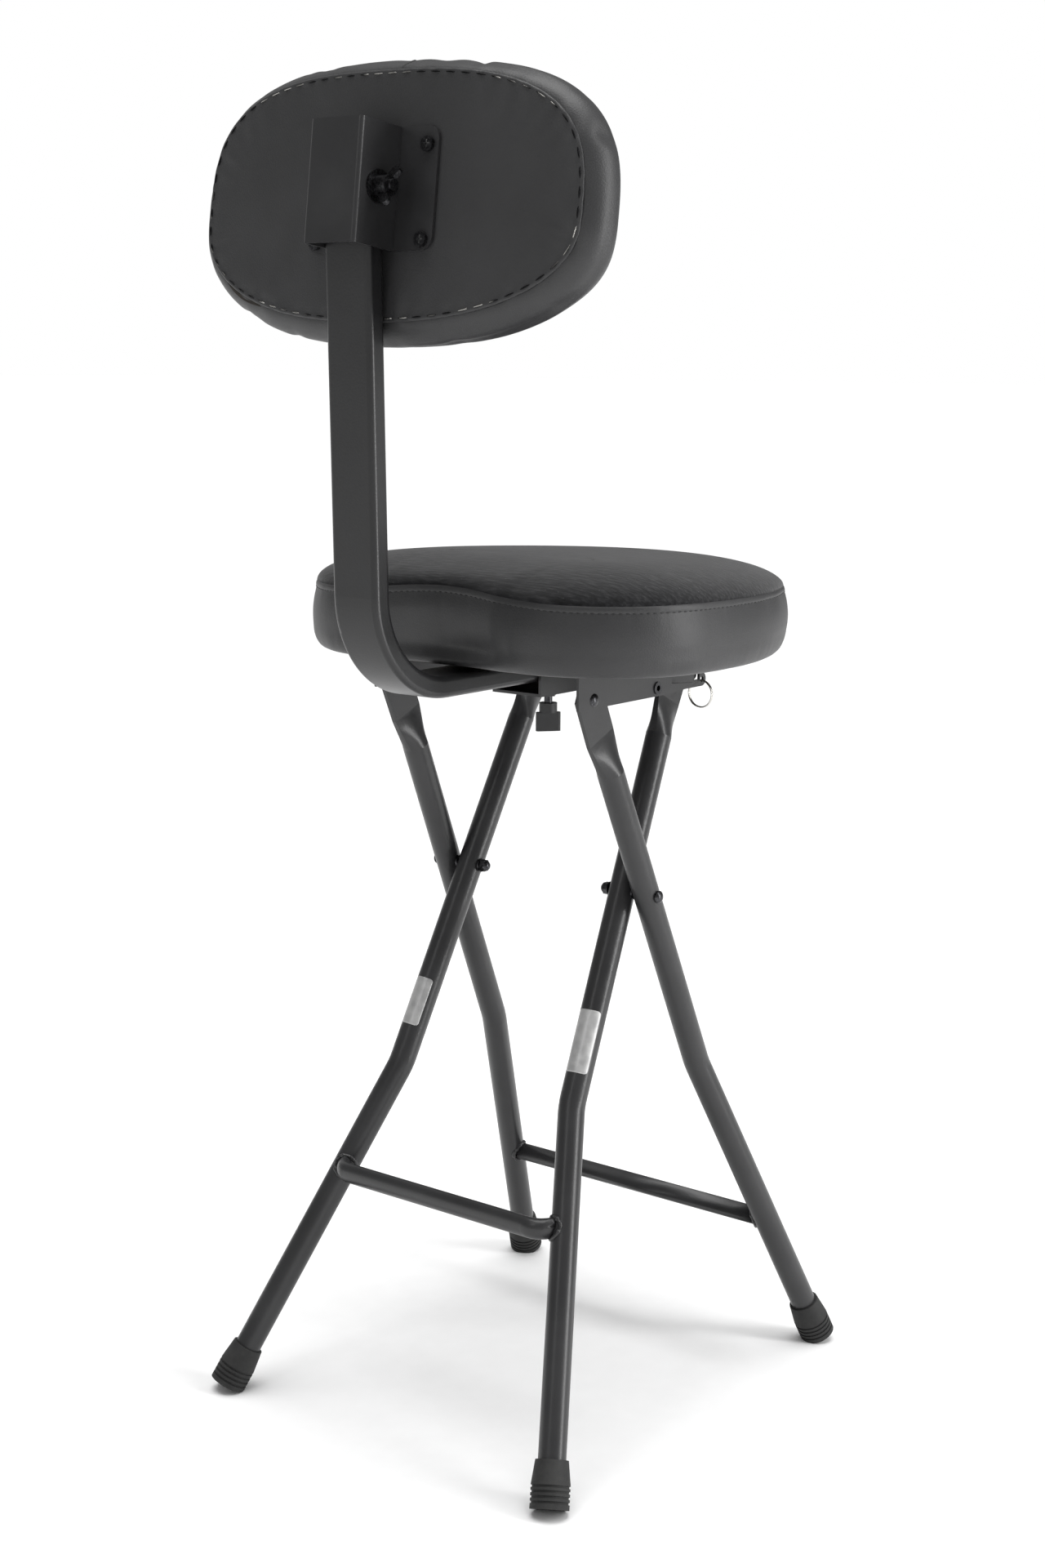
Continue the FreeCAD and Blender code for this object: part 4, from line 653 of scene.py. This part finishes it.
def hold_rings(shape, start, end):
    """Each point's held share: one up to a start ring, easing to nought at an end ring."""
    share = 1 - smooth_step(np.arange(shape[0]), start, end)
    return np.concatenate([np.repeat(share, shape[1]), [1, 0]])


def second_cover(piece, shape, first_ring):
    """Gives the second material to the faces from one ring to the last, and to the fan that closes them."""
    second = np.zeros(len(piece.data.polygons), int)
    second[first_ring * shape[1]:(shape[0] - 1) * shape[1]] = 1
    second[-shape[1]:] = 1
    piece.data.polygons.foreach_set("material_index", second)


def thread_run(name, path, outward, pitch, length, width, material, body, slot, sink=0.0):
    """Short stitches along a closed path: each is a low bow of round thread whose ends dip into the cover."""
    closed = np.concatenate([path, path[:1]])
    run = np.concatenate([[0], np.cumsum(np.linalg.norm(np.diff(closed, axis=0), axis=1))])
    count = int(run[-1] // pitch)
    spots = (np.arange(count) + 0.5) * run[-1] / count
    at = np.stack([np.interp(spots, run, closed[:, axis]) for axis in range(3)], -1)
    ahead = np.stack([np.interp((spots + 1) % run[-1], run, closed[:, axis]) for axis in range(3)], -1)
    cover = np.concatenate([outward, outward[:1]])
    out = np.stack([np.interp(spots, run, cover[:, axis]) for axis in range(3)], -1)
    along = ahead - at
    along /= np.linalg.norm(along, axis=1, keepdims=True)
    out -= along * np.einsum("ij,ij->i", along, out)[:, None]
    out /= np.linalg.norm(out, axis=1, keepdims=True)
    aside = np.cross(along, out)
    step = np.linspace(-1, 1, 5)
    angle = np.linspace(0, 2 * np.pi, 6, endpoint=False)
    thick = width / 2 * np.sqrt(1.15 - step ** 2)[:, None]
    reach = (step * length / 2)[:, None] * np.ones(len(angle))
    rise = (0.25 - 0.5 * step ** 2)[:, None] * width - sink + thick * np.sin(angle)
    off = thick * np.cos(angle)
    points = (at[:, None, None] + along[:, None, None] * reach[None, :, :, None]
              + out[:, None, None] * rise[None, :, :, None] + aside[:, None, None] * off[None, :, :, None])
    size = reach.size
    ends = [list(range(len(angle)))[::-1], list(range(size - len(angle), size))]
    one = ring_faces(len(step), len(angle)) + ends
    faces = [[corner + size * stitch for corner in face] for stitch in range(count) for face in one]
    return mesh_piece(name, points.reshape(-1, 3), faces, [material], body, slot)


def sewing_thread():
    """Bonded polyester thread: black, softly shiny, with a fine twist along the stitch."""
    material, tree, place = new_finish("bonded_thread_and_recess_shade")
    twist = add(tree, "ShaderNodeTexNoise", {"Vector": place, "Scale": per(0.4), "Detail": 2.0})
    colour = add(tree, "ShaderNodeValToRGB", {"Fac": twist.outputs["Fac"]},
                 stops=[(0.35, "#0d0d0e"), (0.65, "#1d1d1e")]).outputs["Color"]
    bump = add(tree, "ShaderNodeBump", {
        "Strength": 0.4, "Distance": 0.3 * MM, "Height": twist.outputs["Fac"]})
    shader = add(tree, "ShaderNodeBsdfPrincipled", {
        "Base Color": colour, "Roughness": 0.6, "IOR": 1.5, "Normal": bump.outputs["Normal"]})
    add(tree, "ShaderNodeOutputMaterial", {"Surface": shader.outputs[0]})
    return material


vinyl_cover = vinyl()
velour_cover = velour()
thread = sewing_thread()
seat_cushion = mesh_piece("seat_cover", *skin(rings), [vinyl_cover, velour_cover], "seat", "seat_cover")
second_cover(seat_cushion, rings.shape, velour_ring)
seat_held = hold_rings(rings.shape, len(under), len(under) + len(roll))
swell(seat_cushion, seat_pressure, seat_swell, seat_held, rings.shape)
seat_rings = grid_of(seat_cushion, rings.shape)
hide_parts("seat_cushion")
stitch_line = seat_rings[stitch_ring + 1]
stitch_out = np.concatenate([edge_out, np.zeros((places, 1))], 1)
thread_run("seat_stitching", stitch_line, stitch_out, stitch_pitch, stitch_length, stitch_width, thread,
           "seat", "seat_cover", sink=0.1)

# Back bracket: a hat of 2 mm sheet folded round the post, powder coated with the legs.
# Four round-head screws hold it to the back board, and the tilt bolt with its wing nut
# runs through its sides.
bracket_screws = [end + hand for end in ("upper", "lower") for hand in ("_left", "_right")]
dress(coat, "back_bracket")
dress(oxide, "tilt_bolt", "tilt_washer", "wing_nut", *["bracket_screw_" + screw for screw in bracket_screws])

# Screw recesses: a cross is pressed into each round head when it is struck.
# It is drawn as two dark crossed bars that stand a hair proud of the head, as painted shade for the cross's
# hollow.
recess_arm = 2.6
recess_half = 0.6
recess_levels = (-0.2, 0.06)
head_top = 0.05
back_lean = math.radians(7)
lean_out = np.array([0, math.cos(back_lean), math.sin(back_lean)])
lean_up = np.array([0, -math.sin(back_lean), math.cos(back_lean)])
box_corners = ((-1, -1), (1, -1), (1, 1), (-1, 1))
box_faces = [[0, 3, 2, 1], [4, 5, 6, 7], [0, 1, 5, 4], [1, 2, 6, 5], [2, 3, 7, 6], [3, 0, 4, 7]]
recess_faces = box_faces + [[corner + 8 for corner in face] for face in box_faces]


def node_points(name):
    """A CAD node's points, in millimetres."""
    vertices = frame["nodes"][name].data.vertices
    points = np.empty(len(vertices) * 3)
    vertices.foreach_get("co", points)
    return points.reshape(-1, 3) / MM


for screw in bracket_screws:
    points = node_points("bracket_screw_" + screw)
    out = points @ lean_out
    head = points[out > out.max() - head_top].mean(0)
    corners = []
    for half_x, half_z in ((recess_arm, recess_half), (recess_half, recess_arm)):
        for level in recess_levels:
            corners += [head + [x * half_x, 0, 0] + z * half_z * lean_up + level * lean_out
                        for x, z in box_corners]
    # The bars take the thread's black as painted shade in the recess
    mesh_piece("recess_" + screw, np.array(corners), recess_faces, [thread], "backrest", "dark_fastener")

# Back pad: foam on a bent board, wrapped with a vinyl band that is pulled round to the back,
# closed there by a vinyl panel stapled down along its folded edge; the front panel is velour.
pad_half = 168
pad_top = 100.5
pad_bottom = 79
pad_waist = -14.3
pad_powers = (2.95, 2.3)
pad_back = -20.5
pad_curve = 1083
pad_roll = math.radians(1.1)
pad_edge_thick = 31
pad_bottom_gain = 6
pad_swell = 13
pad_fold = 14
pad_wrap = 34
pad_seam_angle = 2.5
pad_pressure = 2.0
pad_most_swell = 3.0
pad_held_rings = 10
pull_reach = 10
crinkle_deep = 0.9
crease_count = 46
crease_widths = (3.5, 9)
crease_most = 1.5
crease_lean = 9
long_fold_count = 2.6
long_fold_deep = 0.45
pad_places = 520
tilt = np.array(joints["back_tilt"]["pos_m"]) / MM


def pad_edge(count):
    """The pad from behind: a superellipse with one power above its waist and another below."""
    angle = np.linspace(0, 2 * np.pi, 1440, endpoint=False)
    power = np.where(np.sin(angle) >= 0, *pad_powers)
    tall = np.where(np.sin(angle) >= 0, pad_top, pad_bottom)
    share_x = np.abs(np.cos(angle)) ** (2 / power) * np.sign(np.cos(angle))
    share_z = np.abs(np.sin(angle)) ** (2 / power) * np.sign(np.sin(angle))
    points = np.stack([pad_half * share_x, pad_waist + tall * share_z], -1)
    slope = np.stack([np.abs(share_x) ** (power - 1) * np.sign(share_x) / pad_half,
                      np.abs(share_z) ** (power - 1) * np.sign(share_z) / tall], -1)
    return even_loop(points, slope / np.linalg.norm(slope, axis=1, keepdims=True), count)


def on_pad(flat, depth):
    """Points (x, z) at a depth in front of the board's back: rolled, bent to its curve and leant with it."""
    beside = flat[..., 0] * math.cos(pad_roll) - flat[..., 1] * math.sin(pad_roll)
    level = flat[..., 0] * math.sin(pad_roll) + flat[..., 1] * math.cos(pad_roll)
    ahead = pad_back - pad_curve + np.sqrt(pad_curve ** 2 - beside ** 2) - depth
    return np.stack([beside,
                     tilt[1] + ahead * math.cos(back_lean) - level * math.sin(back_lean),
                     tilt[2] + ahead * math.sin(back_lean) + level * math.cos(back_lean)], -1)


rim, rim_out, rim_length = pad_edge(pad_places)
rim_middle = np.array([0.0, pad_waist + (pad_top - pad_bottom) / 2])
rim_angle = np.linspace(0, np.pi, 26)
wrapped = np.stack([np.linspace(pad_wrap, pad_fold, 8)[:-1], np.zeros(7)], -1)
fold = np.stack([pad_fold * (1 - np.sin(rim_angle)), (1 - np.cos(rim_angle)) / 2], -1)
pad_profile = np.concatenate([wrapped, fold])
rim_thick = pad_edge_thick + pad_bottom_gain * smooth_step(-rim_out[:, 1], 0, 0.9)
# Wrinkles: many small gathers where the band is pulled to the back, fewer creases across the band,
# and long folds that wander along it
draws = np.random.default_rng(11)
waves = draws.uniform(0, 2 * np.pi, (14, 2))
wave_counts = np.arange(9, 9 + 3 * len(waves), 3)
rim_share = rim_length / rim_length.max()
crinkle = sum(np.sin(count * 2 * np.pi * rim_share + phase[0]) / (1 + 0.05 * count)
              for count, phase in zip(wave_counts, waves)) / 4
crease_spot = draws.uniform(0, rim_length.max(), crease_count)
crease_width = draws.uniform(*crease_widths, crease_count)
crease_deep = draws.uniform(0.2, 1.0, crease_count) ** 2 * crease_most
crease_slant = draws.uniform(-crease_lean, crease_lean, crease_count)
behind = pad_profile[:, 1] < 0.5
pull = np.exp(-((pad_profile[:, 0] - pad_fold) / pull_reach) ** 2) * behind
across_fold = np.sin(np.pi * np.clip(pad_profile[:, 1] * 1.15, 0, 1)) ** 2
slanted = rim_length[None, :, None] + (pad_profile[:, 1] - 0.5)[:, None, None] * crease_slant
creases = (crease_deep * np.exp(-((slanted - crease_spot) / crease_width) ** 2)).sum(-1)
fold_wander = 0.9 * np.sin(4 * np.pi * rim_share + 0.6)
fold_strength = long_fold_deep + long_fold_deep * np.sin(6 * np.pi * rim_share + 2.0)
fold_phase = 2 * np.pi * long_fold_count * pad_profile[:, 1, None] + fold_wander[None]
long_folds = np.sin(fold_phase) * fold_strength[None]
pad_in = pad_profile[:, 0, None] + (creases + long_folds) * across_fold[:, None]
pad_flat = rim[None] - pad_in[..., None] * rim_out[None]
pad_depth = pad_profile[:, 1, None] * rim_thick[None] - pull[:, None] * crinkle_deep * crinkle[None]
front_share = np.linspace(1, 0.03, 22)[1:, None]
front_flat = rim_middle + (pad_flat[-1] - rim_middle) * front_share[..., None]
front_most = pad_swell + pad_edge_thick + pad_bottom_gain / 2
front_depth = rim_thick[None] + (front_most - rim_thick[None]) * (1 - front_share ** 2)
pad_rings = on_pad(np.concatenate([pad_flat, front_flat]), np.concatenate([pad_depth, front_depth]))
back_cushion = mesh_piece("back_cover", *skin(pad_rings), [vinyl_cover, velour_cover],
                          "backrest", "back_cover")
pad_seam_ring = len(wrapped) + int(np.searchsorted(rim_angle, pad_seam_angle))
second_cover(back_cushion, pad_rings.shape, pad_seam_ring)
pad_held = hold_rings(pad_rings.shape, len(wrapped), len(wrapped) + pad_held_rings)
swell(back_cushion, pad_pressure, pad_most_swell, pad_held, pad_rings.shape)
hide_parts("back_cushion")

# Band seam: the ends of the pad's band are sewn together at the top.
# It shows as a dark line of thread across the fold.
band_seam_x = -14.0
band_seam_round = 0.55
seam_place = int(np.argmin(np.where(rim_out[:, 1] < 0, np.inf, np.abs(rim[:, 0] - band_seam_x))))
seam_path = grid_of(back_cushion, pad_rings.shape)[2:pad_seam_ring + 1, seam_place]
mesh_piece("band_seam", *skin(tube(seam_path, band_seam_round, 8)), [thread], "backrest", "back_cover")

# Back panel: a vinyl sheet with its edge folded under, laid over the band's raw edge.
# It puffs up between the staples and gathers a little inside them.
panel_inset = 11.0
panel_top_gain = -1.0
panel_bottom_gain = 2.0
panel_puff, puff_spot, puff_reach = 0.55, 2.0, 2.2
panel_gather, gather_spot, gather_reach = 0.9, 11, 6
staple_inset = 2.4
staple_pitch = 11.6
staple_lift = 1.1
panel_gain = np.where(rim_out[:, 1] > 0, panel_top_gain, panel_bottom_gain)
panel_in = panel_inset + panel_gain * rim_out[:, 1] ** 2
panel_rim = rim - panel_in[:, None] * rim_out
panel_run = np.array([0, 0.35, 0.8, 1.5, 2.4, 3.6, 5.2, 7.5, 11, 16, 23, 32])
panel_lift = np.array([0.1, 0.6, 0.95, 1.1, 1.05, 0.95, 1.0, 1.15, 1.25, 1.2, 1.1, 1.0])


def finer_loop(values, count):
    """A closed run of values, drawn out to more places."""
    old = np.arange(len(values) + 1) / len(values)
    new = np.arange(count) / count
    looped = np.concatenate([values, values[:1]])
    return np.stack([np.interp(new, old, looped[:, axis]) for axis in range(looped.shape[1])], -1)


fine_places = pad_places * 2
fine_rim = finer_loop(panel_rim, fine_places)
fine_out = finer_loop(rim_out, fine_places)
fine_crinkle = finer_loop(crinkle[:, None], fine_places)[:, 0]
staple_flat = fine_rim - staple_inset * fine_out
staple_path = on_pad(staple_flat, np.full(fine_places, -staple_lift))
staple_step = np.linalg.norm(np.roll(staple_path, -1, 0) - staple_path, axis=1)
staple_share = (np.cumsum(staple_step) - staple_step) / staple_step.sum()
between = 0.5 + 0.5 * np.cos(2 * np.pi * (staple_step.sum() // staple_pitch) * staple_share)
puff = np.exp(-((panel_run - puff_spot) / puff_reach) ** 2)[:, None] * (between - 0.4)[None] * panel_puff
gather = np.exp(-((panel_run - gather_spot) / gather_reach) ** 2)[:, None] * fine_crinkle[None] * panel_gather
panel_flat = fine_rim[None] - panel_run[:, None, None] * fine_out[None]
panel_depth = -(panel_lift[:, None] + puff + gather)
hub_share = np.linspace(1, 0.02, 9)[1:, None]
hub_flat = rim_middle + (panel_flat[-1] - rim_middle) * hub_share[..., None]
hub_depth = -panel_lift[-1] - gather[-1:] * hub_share ** 3
panel_rings = on_pad(np.concatenate([panel_flat, hub_flat]), np.concatenate([panel_depth, hub_depth]))
mesh_piece("back_panel", *skin(panel_rings), [vinyl_cover], "backrest", "back_cover")

# Staples: black-lacquered wire with 9 mm crowns, shot flat through the panel's folded edge.
# Some crowns are painted bright, with less roughness, as painted glints.
staple_crown = 8.6
staple_thick = 0.9


def staple_wire():
    """Lacquered staple wire: dark, with painted glints of bright steel and less roughness on some crowns."""
    material, tree, place = new_finish("staple_wire")
    painted_glint = add(tree, "ShaderNodeTexNoise", {"Vector": place, "Scale": per(26.3), "Detail": 2.0})
    # The pale stop is a painted glint on some crowns
    colour = add(tree, "ShaderNodeValToRGB", {"Fac": painted_glint.outputs["Fac"]},
                 stops=[(0.5, "#1d1d1e"), (0.62, "#a8a6a2")]).outputs["Color"]
    rough = add(tree, "ShaderNodeMapRange", {"Value": painted_glint.outputs["Fac"], "To Min": 0.4, "To Max": 0.18})
    shader = add(tree, "ShaderNodeBsdfPrincipled", {
        "Base Color": colour, "Metallic": 1.0, "Roughness": rough.outputs["Result"]})
    add(tree, "ShaderNodeOutputMaterial", {"Surface": shader.outputs[0]})
    return material


staple_out = staple_path - on_pad(staple_flat, np.zeros(fine_places))
thread_run("back_staples", staple_path, staple_out, staple_pitch, staple_crown, staple_thick, staple_wire(),
           "backrest", "dark_fastener")

# Studio: a white paper floor under one broad overhead light, with narrow lamps that draw lines
# along the tubes. The camera stands where the photograph was taken.
floor_half = 60.0


def white_paper():
    """White paper: a matt floor with a faint cloudiness of about 2 cm, as rolled paper has."""
    material, tree, place = new_finish("white_paper")
    cloud = add(tree, "ShaderNodeTexNoise", {"Vector": place, "Scale": per(20), "Detail": 2.0})
    colour = add(tree, "ShaderNodeValToRGB", {"Fac": cloud.outputs["Fac"]},
                 stops=[(0.3, "#f4f4f4"), (0.7, "#f6f6f6")]).outputs["Color"]
    shader = add(tree, "ShaderNodeBsdfPrincipled", {
        "Base Color": colour, "Roughness": 0.95, "Specular IOR Level": 0.0})
    add(tree, "ShaderNodeOutputMaterial", {"Surface": shader.outputs[0]})
    return material


floor_mesh = bpy.data.meshes.new("floor")
floor_mesh.from_pydata([(-floor_half, -floor_half, 0), (floor_half, -floor_half, 0),
                        (floor_half, floor_half, 0), (-floor_half, floor_half, 0)], [], [(0, 1, 2, 3)])
floor_mesh.materials.append(white_paper())
floor = bpy.data.objects.new("floor", floor_mesh)
bpy.context.scene.collection.objects.link(floor)

world = bpy.data.worlds.new("studio")
world.use_nodes = True
sky = world.node_tree
sky.nodes.clear()
rays = add(sky, "ShaderNodeLightPath")
seen = add(sky, "ShaderNodeMath", {0: rays.outputs["Is Camera Ray"], 1: rays.outputs["Is Transmission Ray"]},
           operation="MAXIMUM")
level = add(sky, "ShaderNodeMapRange", {"Value": seen.outputs[0], "To Min": 0.28, "To Max": 1.0})
backdrop = add(sky, "ShaderNodeBackground", {"Color": (1, 1, 1, 1), "Strength": level.outputs["Result"]})
add(sky, "ShaderNodeOutputWorld", {"Surface": backdrop.outputs[0]})
bpy.context.scene.world = world


def soft_lamp(name, spot, target, width, height, power):
    """A rectangular softbox at a spot, in metres, turned to face a target."""
    lamp = bpy.data.lights.new(name, "AREA")
    lamp.shape = "RECTANGLE"
    lamp.size = width
    lamp.size_y = height
    lamp.energy = power
    holder = bpy.data.objects.new(name, lamp)
    holder.location = spot
    aim = Vector(target) - Vector(spot)
    holder.rotation_euler = aim.to_track_quat("-Z", "Y").to_euler()
    bpy.context.scene.collection.objects.link(holder)


ceiling = bpy.data.lights.new("ceiling", "SUN")
ceiling.energy = 2.75
ceiling.angle = math.radians(50)
bpy.context.scene.collection.objects.link(bpy.data.objects.new("ceiling", ceiling))
soft_lamp("camera_left", (2.4, -0.6, 1.4), (0, 0, 0.6), 1.0, 2.2, 3)
soft_lamp("camera_right", (-2.2, -0.65, 1.3), (0, 0, 0.6), 0.35, 2.6, 44)
soft_lamp("camera_strip", (0.0, 2.2, 2.1), (0, 0, 0.4), 0.14, 1.6, 5)

camera_spot = (-0.981, 1.2777, 0.7494)
camera_azimuth = math.radians(218.1)
camera_pitch = math.radians(-10.7)
camera_roll = math.radians(0.3)
across = Vector((math.cos(camera_azimuth), math.sin(camera_azimuth), 0))
level_ahead = Vector((-math.sin(camera_azimuth), math.cos(camera_azimuth), 0))
ahead = level_ahead * math.cos(camera_pitch) + Vector((0, 0, math.sin(camera_pitch)))
upward = across.cross(ahead)
right = across * math.cos(camera_roll) + upward * math.sin(camera_roll)
upward = right.cross(ahead)
camera_data = bpy.data.cameras.new("camera")
camera_data.lens = 51.96
camera_data.sensor_width = 36.0
camera = bpy.data.objects.new("camera", camera_data)
turned = Matrix((right, upward, -ahead)).transposed().to_4x4()
turned.translation = camera_spot
camera.matrix_world = turned
bpy.context.scene.collection.objects.link(camera)
bpy.context.scene.camera = camera
bpy.context.scene.view_settings.view_transform = "Standard"
